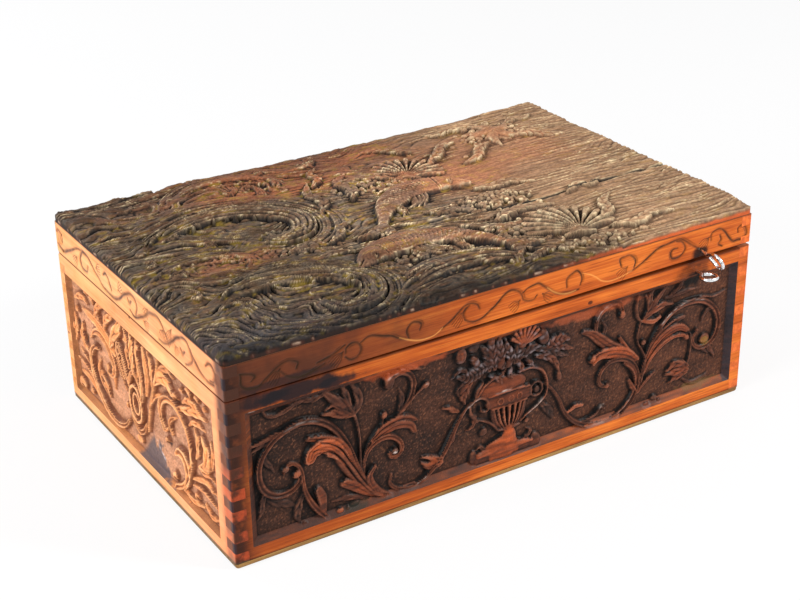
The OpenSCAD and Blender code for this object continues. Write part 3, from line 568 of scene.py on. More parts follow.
    # Fan flower
    for angle in range(-60, 75, 19):
        a = math.radians(90 - angle)
        tip = (212 + 11 * math.cos(a) * 1.05, 90.5 + 11.5 * math.sin(a))
        stroke(field, [(210, 90), tip], [1.5, 2.8, 4.0], [3.2, 3.9, 3.5], 0.85)
    dome(field, (210, 90), (3.4, 2.6), 0, 3.8, 0.5)
    dome(field, (186, 99), (3.2, 3.0), 0, 3.4, 0.35)
    # Right side
    dome(field, (226.7, 91), (4.4, 6.4), 15, 3.8, 0.3, 0.4)
    dome(field, (225, 95), (2.2, 3.0), 15, 3.95, 0.3, 0.4)
    leaf(field, [(228, 81), (234, 85), (241, 85.5), (246.5, 84)], [3, 8, 9, 4], [3.0, 3.4, 2.6], 5, 0.2, 0.9,
         0.45)
    leaf(field, [(234, 82), (241, 80), (247, 77), (252, 75)], [3, 6, 5, 1.5], [2.8, 2.8, 1.8], 4, 0.2,
         tone=0.35)
    leaf(field, [(216, 85), (224, 83), (233, 79), (242, 73.5), (247, 71.5)], [3, 5.5, 6, 5, 2],
         [3.2, 3.0, 2.8, 2.2], 6, 0.2, tone=0.1)
    leaf(field, [(222, 78), (229, 76), (234, 73), (238, 68), (239.5, 63)], [3, 6, 6, 5, 2.5], [3.0, 3.2, 2.8],
         4, 0.2, tone=0.35)
    dome(field, (240, 58.5), (2.6, 4.4), 10, 3.2, 0.25)


def finish_panel(field, opening, slope, seed):
    """Adds the punched ground and tool marks, then joins relief and sloping sides."""
    x0, x1, y0, y1 = opening
    inset = np.minimum(np.minimum(field.x - x0, x1 - field.x), np.minimum(field.y - y0, y1 - field.y))
    field.walls = FACE_DEPTH * unit(1 - inset / slope)
    shape = field.height.shape
    fine = soft_noise(shape, 2.2, 2.2, seed)
    finer = soft_noise(shape, 1.3, 1.3, seed + 1)
    broad = soft_noise(shape, 22, 22, seed + 2)
    marks = soft_noise(shape, 5, 5, seed + 3)
    ground = 1 - unit(field.cover)
    relief = np.clip(field.height, 0, FACE_DEPTH - 0.08) * (1 + 0.05 * marks * field.cover)
    relief = np.minimum(relief, FACE_DEPTH - 0.05)
    bed = ground * (0.34 * (0.5 + 0.35 * fine + 0.25 * finer) + 0.15 + 0.12 * broad)
    field.height = np.where(relief > 0.35, np.maximum(relief, bed), bed + relief * (1 - ground))
    field.total = np.minimum(np.maximum(field.height, field.walls + 0.02), FACE_DEPTH)


def front_field(seed):
    """The front panel's carving. x runs from the left side, y is the height above the table."""
    field = Field(*FRONT_OPENING, PANEL_CELL)
    field.lower(1.8)
    carve(field, LEFT_BANDS, LEFT_LEAVES, LEFT_BUDS)
    for points, depth in (([(98, 19), (91, 29), (86, 38), (81, 47), (76, 56), (69, 62.5), (61, 66.5)], 1.5),
                          ([(95, 20), (88, 29), (83, 37), (78, 46), (73, 53), (67, 57.5), (61, 58.5)], 1.6),
                          ([(93, 22), (86, 31), (80, 41), (75, 49), (70, 57), (62, 61), (56, 61.5)], 0.8)):
        groove(field, points, [0.7, 1.0, 0.9], [0.3, depth, depth * 0.8])
    dome_hole(field, (62.5, 55.5), (2.2, 2.0), 3.0)
    dome_hole(field, (34, 51), (2.2, 2.6), 2.6)
    dome_hole(field, (104.5, 93.5), (2.0, 4.5), 2.6)
    field.lower(-0.5)
    carve(field, RIGHT_BANDS, RIGHT_LEAVES, RIGHT_BUDS)
    dome_hole(field, (294, 48.5), (2.6, 2.2), 2.6)
    dome_hole(field, (286, 91), (2.6, 3.0), 2.6)
    field.lower(-0.1)
    urn(field)
    field.lower(-1.2)
    finish_panel(field, FRONT_OPENING, 5.0, seed)
    return field


# The end panel's ornament. x runs from the front corner, y is the height above the table.
END_BANDS = (
    # Near scroll, from its volute over the top and down to the base
    ([(92, 53), (96, 50), (99.5, 54), (101, 61), (99, 69), (92, 74.5), (83, 77), (74, 75), (66, 70),
      (60.5, 62), (58.5, 53), (59, 44), (62.5, 35), (69, 26), (77, 18.5), (86, 14)],
     [2.5, 3.6, 5, 6.4, 7, 7, 7, 6.6, 6, 5.6, 5.4, 5.4, 5, 4.6], [3.2, 3.8, 3.9, 3.8, 3.6, 3.4, 3.2],
     0.8, "cove", 1),
    ([(82, 40), (77, 43.5), (70, 43.5), (65.5, 39), (65, 32), (68, 25), (74, 18)], [4, 8, 9.5, 9, 7, 5, 3],
     [3.0, 3.6, 3.4, 3.0], 0.9, "hollow", 2),
    ([(86, 52), (88, 57), (86.5, 62), (80, 66)], [2.2, 4, 4, 1.6], [2.6, 3.0, 2.2], 0.4, "hollow", 1),
    ([(24, 27), (34, 30), (46, 31.5), (57, 29)], [1.5, 4, 4.6, 3], [2.4, 3.2, 3.0], 0.6, "tilt", 1),
    ([(27, 38), (38, 40.5), (48, 38), (58, 34)], [1.5, 3.6, 4, 2.4], [2.6, 3.0, 2.8], 0.5, "tilt_back", 1),
    ([(26, 46), (34, 47), (43, 44), (50, 46)], [1.5, 3.2, 3.4, 2], [2.2, 2.8, 2.2], 0.3, "tilt", 0),
    # Stem from the stain to the top
    ([(124, 36), (120, 48), (115.5, 60), (109, 74), (103, 88), (100, 99)], [2.2, 2.8, 3, 2.6, 2.2],
     [3.2, 3.6, 3.0], 0.6, "hollow", 0),
    ([(117, 58), (111, 66), (104, 71), (99, 72)], [2.2, 4.6, 4, 2], [3.0, 3.2, 2.6], 0.5, "tilt", 1),
    # Far scroll: its long lower sweep and its top
    ([(203, 62), (209, 61), (214.5, 55), (215.5, 46), (212, 36), (205, 27.5), (196, 20.5), (185, 17),
      (174, 17), (164, 21), (157, 28)], [3, 5, 6.4, 6.6, 6.6, 6.6, 6.4, 6, 5, 4, 3],
     [3.2, 3.8, 3.9, 3.8, 3.6, 3.2], 0.9, "hollow", 1),
    ([(215, 66), (209, 72), (200, 76), (190, 75.5), (181, 71), (175.5, 63), (176, 55), (182, 50),
      (188.5, 50.5), (189, 55)], [2.4, 5, 6, 6.4, 6.2, 5.8, 5, 4.4, 3.6, 2.6], [3.0, 3.7, 3.9, 3.8, 3.4, 3.0],
     0.75, "cove_back", 1),
    ([(228, 82), (214, 83), (199, 82), (185, 78), (173, 70)], [1.8, 5, 6.4, 6, 3], [2.6, 3.4, 3.4, 2.8],
     0.8, "tilt", 2),
    ([(246, 37), (232, 36.5), (219, 33), (208, 28)], [1.6, 4.6, 5.4, 4], [2.4, 3.0, 3.2],
     0.5, "tilt_back", 1),
    ([(242, 28), (230, 29), (219, 27), (211, 23)], [1.6, 3.6, 4, 3], [2.2, 2.6, 2.8], 0.35, "tilt", 1),
    ([(240, 46), (229, 43.5), (220, 40)], [1.6, 4.4, 3], [2.2, 2.8, 2.4], 0.4, "tilt_back", 1),
    ([(179, 62), (177.5, 52), (180, 41)], [2, 3.2, 1.6], [2.6, 2.8, 2.0], 0.3, "tilt", 0),
    # Upright loops beside the middle
    ([(150, 56), (153.5, 66), (158, 76), (162.5, 83), (165.5, 78), (163, 68), (158, 60)],
     [3, 4.6, 5, 4.4, 4, 3], [3.2, 3.7, 3.6, 3.0], 0.8, "hollow", 1),
    ([(156, 50), (163, 58), (169, 68), (171, 80), (168, 92), (163, 99)], [2.2, 4, 4.6, 4, 3],
     [3.0, 3.6, 3.4, 2.8], 0.6, "tilt", 1),
    ([(131, 54), (127.5, 64), (128, 74), (132, 84)], [3, 6.4, 6, 2.4], [3.2, 3.8, 3.4], 0.9, "hollow", 1),
    ([(123.5, 62), (120, 74), (121, 86), (124, 96)], [2.2, 4.6, 4.6, 2.4], [2.8, 3.4, 3.0],
     0.5, "tilt_back", 1),
    ([(127, 39), (131, 32.5), (137, 29), (144, 31), (150, 36)], [2.6, 4.6, 5, 4.6, 2.6], [3.0, 3.6, 3.0], 0.6,
     "hollow", 1),
    ([(131, 60), (135, 68), (140.5, 71.5), (146, 68), (150, 61)], [3.4, 4, 4, 3.4], [3.2, 3.6, 3.2], 0.7,
     "hollow", 0),
)
END_LEAVES = (
    ([(45, 49), (37, 53), (34.5, 62), (40, 72)], [4, 11, 10, 3], [3.2, 3.8, 3.0], 2, 0.95),
    ([(51, 52), (47, 59), (47, 66), (51, 73)], [2.4, 6, 6, 2], [2.8, 3.2, 2.4], 2, 0.5),
    ([(33, 52), (28, 58), (27, 65), (30, 73)], [2.4, 5, 5, 2], [2.4, 2.8, 2.0], 2, 0.3),
    ([(106, 79), (98, 87), (89, 88.5), (81, 83)], [4, 10, 10, 4], [3.2, 3.8, 3.2], 2, 0.95),
    ([(100, 90), (94, 95), (86, 97.5), (79, 95)], [3, 6, 6, 2], [2.8, 3.2, 2.4], 2, 0.5),
    ([(73, 77), (61, 81), (48, 85), (34, 86)], [3, 7, 7, 2], [3.0, 3.4, 2.4], 3, 0.65),
    ([(66, 84), (58, 89), (50, 90), (42, 88)], [2.4, 6, 6, 2], [2.6, 3.2, 2.4], 3, 0.4),
    ([(58, 72), (53, 76), (46, 78), (38, 77)], [2.4, 5, 5, 1.6], [2.6, 2.8, 2.0], 2, 0.4),
    ([(76, 18), (66, 17), (56, 17), (46, 19)], [2.4, 5.6, 5, 2], [2.4, 2.8, 2.0], 2, 0.5),
    ([(44, 22), (36, 19), (30, 19), (24, 21)], [2, 5, 4.6, 1.6], [2.2, 2.6, 1.8], 2, 0.3),
    ([(178, 75), (172, 84), (164, 92), (157, 99)], [4, 10, 10, 4], [3.2, 3.8, 3.2], 2, 0.9),
    ([(188, 84), (184, 91), (177, 96), (170, 99)], [3, 7, 7, 3], [2.8, 3.4, 2.8], 3, 0.5),
    ([(204, 86), (200, 92), (195, 97), (188, 99)], [3, 6.4, 6.4, 2.4], [2.6, 3.2, 2.6], 3, 0.35),
    ([(206, 44), (200, 43), (194, 38), (190, 31)], [3, 8, 8, 2.4], [2.8, 3.2, 2.2], 2, 0.55),
    ([(203, 53), (205.5, 46), (203, 38), (197, 31)], [2, 4.6, 4, 1.6], [2.6, 2.8, 2.0], 1, 0.3),
    ([(229, 70), (231, 62), (228, 55), (221, 51)], [3, 7, 6.4, 2.4], [2.6, 3.2, 2.6], 3, 0.45),
    ([(243, 72), (241, 64), (243, 57), (246, 51)], [3, 6, 6, 2.4], [2.4, 2.8, 2.2], 3, 0.3),
    ([(240, 86), (232, 90), (225, 92), (217, 90)], [2.4, 6, 6, 2], [2.4, 2.8, 2.2], 3, 0.3),
    ([(141, 73), (141, 81), (141, 90), (141, 99)], [5, 8, 8, 3.4], [3.6, 3.8, 3.2], 3, 0.8),
    ([(134, 72), (132.5, 80), (134, 89), (133, 98)], [3, 5, 5, 2], [3.2, 3.4, 2.8], 3, 0.4),
    ([(148, 72), (150, 80), (149, 89), (152, 98)], [3, 5.4, 5.4, 2.2], [3.2, 3.4, 2.8], 3, 0.5),
    ([(113, 74), (111, 82), (112, 90), (116, 97)], [2.4, 5.6, 5.6, 2], [2.8, 3.2, 2.6], 3, 0.4),
)
END_BUDS = (
    ((240, 19.5), (6.4, 5.0), 0, 3.9, 0.5), ((223, 20), (3.4, 2.8), 0, 3.0, 0.2),
    ((207, 96.5), (4.6, 4.2), 0, 3.8, 0.2), ((217, 98), (3.2, 2.6), 0, 3.2, 0.2),
    ((236, 79), (3.4, 3.0), 0, 3.2, 0.1), ((246, 62), (2.6, 3.4), 0, 3.0, 0.1),
    ((196, 88), (2.8, 2.4), 0, 3.4, 0.2), ((56, 95.5), (4.6, 4.0), 0, 3.8, 0.3),
    ((76, 83), (4.0, 3.8), 0, 3.9, 0.4), ((44.5, 96), (3.4, 3.4), 0, 3.4, 0.3),
    ((66, 92), (3.0, 2.6), 0, 3.4, 0.2), ((34, 94), (3.0, 2.4), 0, 3.0, 0.1),
    ((54, 23), (3.8, 3.2), 0, 3.4, 0.3), ((86.5, 21), (3.2, 4.4), 20, 3.6, 0.4),
    ((94.5, 43), (3.0, 3.4), 0, 3.4, 0.3), ((66, 11.8), (3.0, 2.0), 0, 2.4, 0.2),
    ((31, 39), (2.6, 2.2), 0, 3.0, 0.1), ((157, 40), (2.4, 3.0), 0, 3.2, 0.2),
    ((151, 90), (3.0, 2.8), 0, 3.9, 0.2), ((131, 94), (3.2, 2.8), 0, 3.8, 0.3),
    ((141, 22), (5.0, 3.6), 0, 3.2, 0.4),
)
# Hollows, centre, radii and depth
END_HOLES = (
    ((239, 17), (2.4, 2.2), 2.6), ((208, 95), (3.0, 2.6), 2.8), ((57, 94), (2.8, 2.4), 2.8),
    ((75, 81), (2.6, 2.4), 2.8), ((45, 94), (2.0, 2.2), 2.4), ((93.5, 41), (2.2, 2.4), 2.6),
    ((86, 19), (1.8, 2.4), 2.4), ((53, 21.5), (2.0, 1.8), 2.4), ((66, 90.5), (1.6, 1.6), 2.0),
    ((217, 96.5), (1.8, 1.6), 2.2), ((184, 55), (3.0, 2.2), 2.0), ((191, 47), (3.4, 1.6), 1.6),
    ((199, 40), (2.8, 1.8), 2.0), ((151, 88.5), (1.8, 1.8), 2.4), ((169, 98), (2.4, 2.0), 2.0),
    ((126, 92), (1.8, 2.4), 2.4), ((160, 72), (1.6, 4.0), 2.0), ((225, 60), (1.6, 3.4), 1.8),
    ((238, 68), (2.4, 2.4), 1.8), ((92.5, 57), (2.4, 1.8), 2.0),
)


def end_field(seed):
    """The left end's carving. x runs from the front corner, y is the height above the table."""
    field = Field(*END_OPENING, PANEL_CELL)
    carve(field, END_BANDS, END_LEAVES, END_BUDS)
    # The oval ring in the middle, with a smaller one inside
    ring(field, (140.6, 48.2), 9.6, 3.4, 3.8, 0.9, 1.35)
    ring(field, (140.6, 48.2), 5.2, 3.0, 3.2, 0.7, 1.45)
    dome_hole(field, (140.4, 47.4), (2.8, 5.4), 3.0)
    for centre, radii, depth in END_HOLES:
        dome_hole(field, centre, radii, depth)
    finish_panel(field, END_OPENING, 2.0, seed)
    return field


# Meshes
def grid_quads(number):
    """Quads of a grid of point numbers."""
    return np.stack([number[:-1, :-1], number[:-1, 1:], number[1:, 1:], number[1:, :-1]], -1)


def new_piece(name, points, faces, colours, values, sharp=None):
    """A smooth piece through points in metres, whose edges stay sharp over an angle of sharp degrees."""
    mesh = bpy.data.meshes.new(name)
    mesh.from_pydata(points.tolist(), [], faces)
    mesh.update()
    if colours is not None:
        layer = mesh.color_attributes.new("tint", "FLOAT_COLOR", "POINT")
        rgba = np.ones((len(points), 4), np.float32)
        rgba[:, :3] = colours.reshape(-1, 3)
        layer.data.foreach_set("color", rgba.ravel())
    for key, value in values.items():
        layer = mesh.attributes.new(key, "FLOAT", "POINT")
        layer.data.foreach_set("value", np.asarray(value, np.float32).ravel())
    mesh.shade_smooth()
    if sharp is not None:
        mesh.set_sharp_from_angle(angle=math.radians(sharp))
    piece = bpy.data.objects.new(name, mesh)
    bpy.context.scene.collection.objects.link(piece)
    return piece


def carved_sheet(name, corners, colours, cover):
    """The carved sheet of a panel, from grids of corners in millimetres, colours and cover."""
    quads = grid_quads(np.arange(cover.size).reshape(cover.shape)).reshape(-1, 4)
    return new_piece(name, corners.reshape(-1, 3) / MM, quads.tolist(), colours, {"cover": cover})


def linear(*rgb):
    """A screen colour of 0 to 255 as linear light."""
    c = np.asarray(rgb, float) / 255.0
    return np.where(c <= 0.04045, c / 12.92, ((c + 0.055) / 1.055) ** 2.4)


def mixed(a, b, amount):
    """Mix of two colours, or grids of colours, by a grid of amounts."""
    return a + (b - a) * amount[..., None]


def painted_shadow_beside(height, reach, lean):
    """Painted shadow: how much lies in the lee of a higher form, looking right and, by lean, down."""
    out = np.zeros_like(height)
    for step in range(1, reach + 1):
        fall = int(round(step * lean))
        beside = np.zeros_like(height)
        beside[fall:, :-step] = height[:height.shape[0] - fall, step:]
        out = np.maximum(out, unit((beside - height) / 2.4) * (1 - 0.8 * (step - 1) / reach))
    return out


# Painted highlights on shining crests of the front panel: points, half width and strength
GLINTS = (
    ([(324, 71), (330, 77), (337, 81.5), (345, 84), (352, 84.6)], 0.7, 0.75),
    ([(354, 84.4), (360, 83), (366, 80.5)], 0.5, 0.6),
    ([(270, 91), (272, 95.5), (276, 99), (282, 100.4)], 0.8, 0.75),
    ([(214, 39), (219, 41.6), (224, 44.6), (228, 48)], 0.4, 0.5),
    ([(188, 62), (195, 62.6), (202, 62.4)], 0.6, 0.7),
    ([(62, 82.5), (54, 85), (46, 85.4), (36, 82.8)], 0.5, 0.3),
    ([(108, 96.4), (113, 98.4), (118, 98.4)], 0.6, 0.4), ([(128, 15.0), (133, 16.6), (138, 19.5)], 0.4, 0.6),
    ([(136, 84.5), (139, 84)], 0.8, 0.9), ([(112, 45), (115, 43)], 0.8, 0.9),
    ([(264, 15.5), (272, 13.6), (280, 13.2)], 0.5, 0.3), ([(289, 14.4), (297, 19), (303, 26)], 0.5, 0.35),
    ([(274, 24), (278, 26), (281, 25)], 0.5, 0.35),
    ([(164, 51), (168, 57), (173, 61), (178, 62.5)], 0.5, 0.6), ([(14, 104), (19, 103.6)], 0.6, 0.9),
)


# Touches of another colour on the front panel: centre, radii, colour and amount
TOUCHES = (
    ((122, 101), (30, 3.6), (182, 84, 42), 0.6), ((266, 98), (36, 3.5), (168, 82, 46), 0.55),
    # The near-black touch at (353, 99), under the lower screw eye, is partly a stain and partly a painted
    # shadow
    ((353, 99), (8, 5), (10, 7, 6), 0.95), ((366, 50), (3.4, 3.0), (150, 116, 48), 0.45),
    ((362, 17), (16, 3), (104, 78, 44), 0.6), ((86, 15), (8, 3), (30, 38, 30), 0.6),
)


def panel_colours(field, p, seed):
    """Colours of a carved panel from its height, hollows, ridges, steep sides and tone. p is its palette."""
    shape = field.height.shape
    cover, total, tone = field.cover, field.total, field.tone
    patch = patches(shape, 26, 34, seed)
    speck = patches(shape, 1.2, 1.2, seed + 1)
    streak = patches(shape, 1.8, 12, seed + 2)
    blotch = patches(shape, 7, 9, seed + 3)
    across = (field.x - field.xs[0]) / (field.xs[-1] - field.xs[0])
    ground = mixed(p["ground_deep"], p["ground"], unit(0.1 + 0.75 * speck + 0.35 * patch - 0.2))
    redder = unit(0.15 + 0.75 * across + 0.5 * (patch - 0.5) + 0.4 * (blotch - 0.5))
    ground = mixed(ground, p["ground_red"], redder * (0.2 + 0.7 * speck))
    ground = mixed(ground, p["ground_fleck"], unit((speck - 0.72) * 3.5) * 0.7)
    relief = mixed(p["relief"], p["relief_warm"], unit(patch * 0.4 + blotch * streak * 0.8 - 0.1))
    glow = tone ** 1.3 * unit(0.35 + 0.8 * streak * (0.5 + 0.8 * blotch))
    relief = mixed(relief, p["glow"], unit(glow * (0.35 + 0.75 * unit(total / FACE_DEPTH))))
    # Crests paler from rubbing and painted highlight, hollows darker from dirt and painted shade
    hollow = np.clip((blur(total, 2) - total) / 0.7, -1, 1)
    worn = unit(-hollow * 1.5 - 0.25) * cover * np.clip(0.05 + 0.55 * blotch * streak + 0.35 * tone, 0, 0.85)
    dirt_and_shade = unit(hollow * 1.6) * (0.55 + 0.45 * cover) + unit((blur(total, 6) - total) / 1.5) * 0.4
    # Painted shade on steep sides, darkest on those that face left and up
    raised = np.maximum(field.height, 0)
    slope_y, slope_x = np.gradient(raised, field.cell)
    slope = np.hypot(slope_x, slope_y)
    steep = unit((slope - 0.9) * 1.2) * unit(0.62 + 0.38 * (slope_x - slope_y) / (slope + 0.3))
    # The opening's sloping sides
    wall = unit(field.walls / 0.6) * (field.walls + 0.05 >= field.height)
    warm = unit(0.05 + 1.1 * streak * patch) * np.clip(0.35 + across + (field.y > 60), 0.35, 1)
    low = unit((30 - field.y) / 10) * np.clip(across * 2.2 - 1.0, 0.05, 1) * unit(0.4 + 0.5 * streak)
    side = mixed(mixed(p["side"], p["side_warm"], warm), p["side_warm"], low * 0.5)
    right = unit((field.x - (field.xs[-1] - 6.5)) / 1.5) * wall
    colour = ground
    # Painted shadow lies beside the forms, in the lee of higher ones to the right and below
    for layer, share in ((relief, unit(cover * 1.2 - 0.2)), (p["worn"], worn),
                         (p["dirt_and_shade"], np.clip(dirt_and_shade, 0, 0.95)),
                         (p["dirt_and_shade"], steep), (p["dirt_and_shade"], painted_shadow_beside(raised, 4, 0.4) * p["painted_shadow_share"]),
                         (side, wall * 0.9), (p["side_right"], right * 0.85)):
        colour = mixed(colour, layer, share)
    return colour


# In both palettes the pale crest colour paints highlights as well as wear, and the darkest colour paints
# shade
# and shadow as well as dirt; the last value sets the strength of the painted shadow beside the forms
FRONT_PALETTE = {
    "ground_deep": linear(25, 16, 13), "ground": linear(66, 43, 34), "ground_red": linear(96, 55, 36),
    "ground_fleck": linear(134, 86, 60), "relief": linear(40, 27, 23), "relief_warm": linear(70, 43, 32),
    "glow": linear(176, 82, 40), "worn": linear(150, 96, 72), "dirt_and_shade": linear(6, 4, 4),
    "side": linear(46, 34, 32), "side_warm": linear(150, 74, 32), "side_right": linear(44, 43, 48),
    "painted_shadow_share": 0.8,
}
END_PALETTE = {
    "ground_deep": linear(124, 82, 62), "ground": linear(204, 150, 116), "ground_red": linear(216, 150, 108),
    "ground_fleck": linear(214, 168, 140), "relief": linear(190, 112, 64),
    "relief_warm": linear(222, 142, 82), "glow": linear(240, 158, 94), "worn": linear(244, 188, 138),
    "dirt_and_shade": linear(104, 58, 38), "side": linear(150, 94, 60), "side_warm": linear(214, 142, 84),
    "side_right": linear(140, 90, 58), "painted_shadow_share": 0.16,
}


def carve_front(name, turned, seed):
    """The front's carving or, turned about the middle, the back's."""
    field = front_field(seed)
    colours = panel_colours(field, FRONT_PALETTE, seed + 7)
    x, y = field.x, field.y
    rough = soft_noise(x.shape, 5, 7, seed + 20)
    for centre, radii, colour, amount in TOUCHES:
        away = np.hypot((x - centre[0]) / radii[0], (y - centre[1]) / radii[1]) + 0.35 * rough
        colours = mixed(colours, linear(*colour), unit((1.25 - away) / 0.5) * amount)
    flowers = bulge(x, y, (202, 87), (50, 15), 2)
    crest = unit((field.total - blur(field.total, 2)) / 0.35)
    spots = patches(x.shape, 3, 5, seed + 21)
    colours = mixed(colours, linear(22, 17, 17), flowers * (1 - 0.6 * field.tone) * 0.5)
    # Painted bluish highlights on the flowers' crests
    colours = mixed(colours, linear(138, 130, 134), flowers * crest * unit(spots * 2.4 - 1.2) * 0.6)
    # Painted highlights along the shining crests
    for points, width, amount in GLINTS:
        glint(field, colours, points, width, linear(214, 196, 186), amount)
    corners = np.stack([x - BOX_W / 2, -BOX_D / 2 + FACE_DEPTH - field.total, y], -1)
    if turned:
        corners = corners * (-1, -1, 1)
    return carved_sheet(name, corners, colours, field.cover)


def carve_end(name, mirrored, seed):
    """The left end's carving or, mirrored, the right end's."""
    field = end_field(seed)
    x, y = field.x, field.y
    colours = panel_colours(field, END_PALETTE, seed + 7)
    # Painted shade in the small hollows
    for centre, radii, _ in END_HOLES:
        colours = mixed(colours, linear(58, 30, 18), 0.9 * bulge(x, y, centre, radii, 2))
    # A blue-black stain that spreads up from the base near the middle
    rough = soft_noise(x.shape, 9, 9, 91) * 5 + soft_noise(x.shape, 3, 3, 92) * 2
    top = 38 - 0.95 * np.abs(x - 119 + rough) * np.where(x > 119, 1.15, 1.0)
    colours = mixed(colours, linear(74, 72, 80), unit((top - y + rough) / 5.0) * 0.82)
    glint(field, colours, [(122, 37), (114, 30), (103, 21)], 0.8, linear(206, 196, 196), 0.8)
    corners = np.stack([-BOX_W / 2 + FACE_DEPTH - field.total, x - BOX_D / 2, y], -1)
    if mirrored:
        return carved_sheet(name, corners * (-1, 1, 1), colours, field.cover)
    # Reversed, so that the faces look outwards
    return carved_sheet(name, corners[:, ::-1], colours[:, ::-1], field.cover[:, ::-1])


# Node-built finishes
class Nodes:
    """Short names for building a material's nodes."""

    def __init__(self, name):
        self.material = bpy.data.materials.new(name)
        self.material.use_nodes = True
        self.tree = self.material.node_tree
        self.tree.nodes.clear()
        self.shader = self.node("ShaderNodeBsdfPrincipled")
        self.output = self.node("ShaderNodeOutputMaterial", {0: self.shader.outputs[0]})
        self.place = self.node("ShaderNodeTexCoord").outputs["Object"]
        self.facing = self.node("ShaderNodeTexCoord").outputs["Normal"]

    def node(self, kind, inputs=None, **settings):
        """A node with its settings, and the values or links of its inputs."""
        made = self.tree.nodes.new(kind)
        for key, value in settings.items():
            setattr(made, key, value)
        for key, value in (inputs or {}).items():
            self.put(made.inputs[key], value)
        return made

    def put(self, socket, value):
        """Links a socket to another, or sets its own value."""
        if isinstance(value, bpy.types.NodeSocket):
            self.tree.links.new(value, socket)
        elif isinstance(value, np.ndarray):
            socket.default_value = (*value.tolist(), 1.0)
        else:
            socket.default_value = value

    def math(self, operation, a, b=0.0):
        return self.node("ShaderNodeMath", {0: a, 1: b}, operation=operation).outputs[0]

    def times(self, a, b):
        return self.math("MULTIPLY", a, b)

    def plus(self, a, b):
        return self.math("ADD", a, b)

    def vector(self, operation, a, b=(0.0, 0.0, 0.0)):
        made = self.node("ShaderNodeVectorMath", {0: a, 1: b}, operation=operation)
        return made.outputs["Value"] if operation in ("LENGTH", "DOT_PRODUCT") else made.outputs[0]

    def mix(self, amount, a, b, blend="MIX"):
        return self.node("ShaderNodeMix", {0: amount, 6: a, 7: b}, data_type="RGBA",
                         blend_type=blend).outputs[2]

    def over(self, colour, tint, mask, amount):
        """The colour with a tint laid over it, by a mask times an amount."""
        return self.mix(self.times(mask, amount), colour, tint)

    def noise(self, scale, detail=3.0, roughness=0.55, stretch=(1.0, 1.0, 1.0), distortion=0.0):
        place = self.vector("MULTIPLY", self.place, stretch)
        return self.node("ShaderNodeTexNoise", {"Vector": place, "Scale": scale, "Detail": detail,
                                                "Roughness": roughness, "Distortion": distortion}).outputs[0]

    def step(self, value, low, high, to_low=0.0, to_high=1.0):
        """A smooth step of the value from low to high, which may run downwards."""
        return self.node("ShaderNodeMapRange", {0: value, 1: low, 2: high, 3: to_low, 4: to_high},
                         interpolation_type="SMOOTHSTEP").outputs[0]

    def ramp(self, value, stops):
        made = self.node("ShaderNodeValToRGB", {0: value})
        elements = made.color_ramp.elements
        while len(elements) < len(stops):
            elements.new(0.5)
        for element, (position, colour) in zip(elements, stops):
            element.position = position
            element.color = (*colour.tolist(), 1.0)
        return made.outputs[0]

    def attribute(self, name, output="Fac"):
        return self.node("ShaderNodeAttribute", attribute_name=name).outputs[output]

    def axes(self):
        return tuple(self.node("ShaderNodeSeparateXYZ", {0: self.place}).outputs)

    def smudges(self, colour, tint, scale, soft, spots, rough=0.3):
        """Spots of a tint with rough edges: each a centre and radii in millimetres and an amount."""
        for centre, radii, amount in spots:
            middle = tuple(value / MM for value in centre)
            size = tuple(MM / value for value in radii)
            away = self.vector("LENGTH", self.vector("MULTIPLY", self.vector("SUBTRACT", self.place, middle),
                                                     size))
            wobble = self.times(self.math("SUBTRACT", self.noise(scale), 0.5), rough * 4)
            colour = self.over(colour, tint, self.step(self.plus(away, wobble), 1.0 + soft, 1.0 - soft),
                               amount)
        return colour

    def bump(self, height, distance, strength):
        return self.node("ShaderNodeBump",
                         {"Strength": strength, "Distance": distance, "Height": height}).outputs[0]

    def finish(self, colour, rough, normal, specular=None, metallic=0.0):
        """Sets the shader's main inputs and gives the material."""
        inputs = {"Base Color": colour, "Roughness": rough, "Normal": normal, "Metallic": metallic}
        if specular is not None:
            inputs["Specular IOR Level"] = specular
        for key, value in inputs.items():
            self.put(self.shader.inputs[key], value)
        return self.material


WAX_SPECULAR = 0.12
WOOD_BUMP = 0.0006


def along_grain(axis, squeeze):
    """Stretch that draws a texture out along X or Y."""
    return (squeeze, 1.0, 1.0) if axis == "X" else (1.0, squeeze, 1.0)


def plain_wood(name, palette, axis, marks=None):
    """Board wood with grain along X or Y, darker end grain, pores and a rubbed, waxed surface."""
    n = Nodes(name)
    bands = n.noise(150.0, 3.0, 0.6, along_grain(axis, 0.045), 0.6)
    fine = n.noise(900.0, 2.0, 0.6, along_grain(axis, 0.0225))
    cloud = n.noise(16.0, 3.0, 0.6)
    value = n.plus(n.plus(n.times(bands, 0.5), n.times(fine, 0.3)), n.times(cloud, 0.3))
    colour = n.ramp(value, [(0.36, palette["deep"]), (0.52, palette["middle"]), (0.72, palette["pale"])])
    pores = n.step(n.noise(1500.0, 2.0, 0.5, along_grain(axis, 0.0315)), 0.62, 0.72)
    colour = n.over(colour, palette["pore"], pores, 0.55)
    # End grain shows where the face looks along the grain
    toward = n.vector("DOT_PRODUCT", n.facing, (1.0, 0.0, 0.0) if axis == "X" else (0.0, 1.0, 0.0))
    end_colour = n.ramp(n.noise(420.0, 3.0, 0.7), [(0.35, palette["end_deep"]), (0.65, palette["end_pale"])])
    colour = n.mix(n.step(n.math("ABSOLUTE", toward), 0.6, 0.85), colour, end_colour)
    if marks:
        colour = marks(n, colour)
    rough = n.step(n.noise(60.0), 0.3, 0.7, 0.34, 0.56)
    height = n.plus(n.times(fine, 0.6), n.times(bands, 0.5))
    return n.finish(colour, rough, n.bump(height, WOOD_BUMP, 0.4), WAX_SPECULAR)


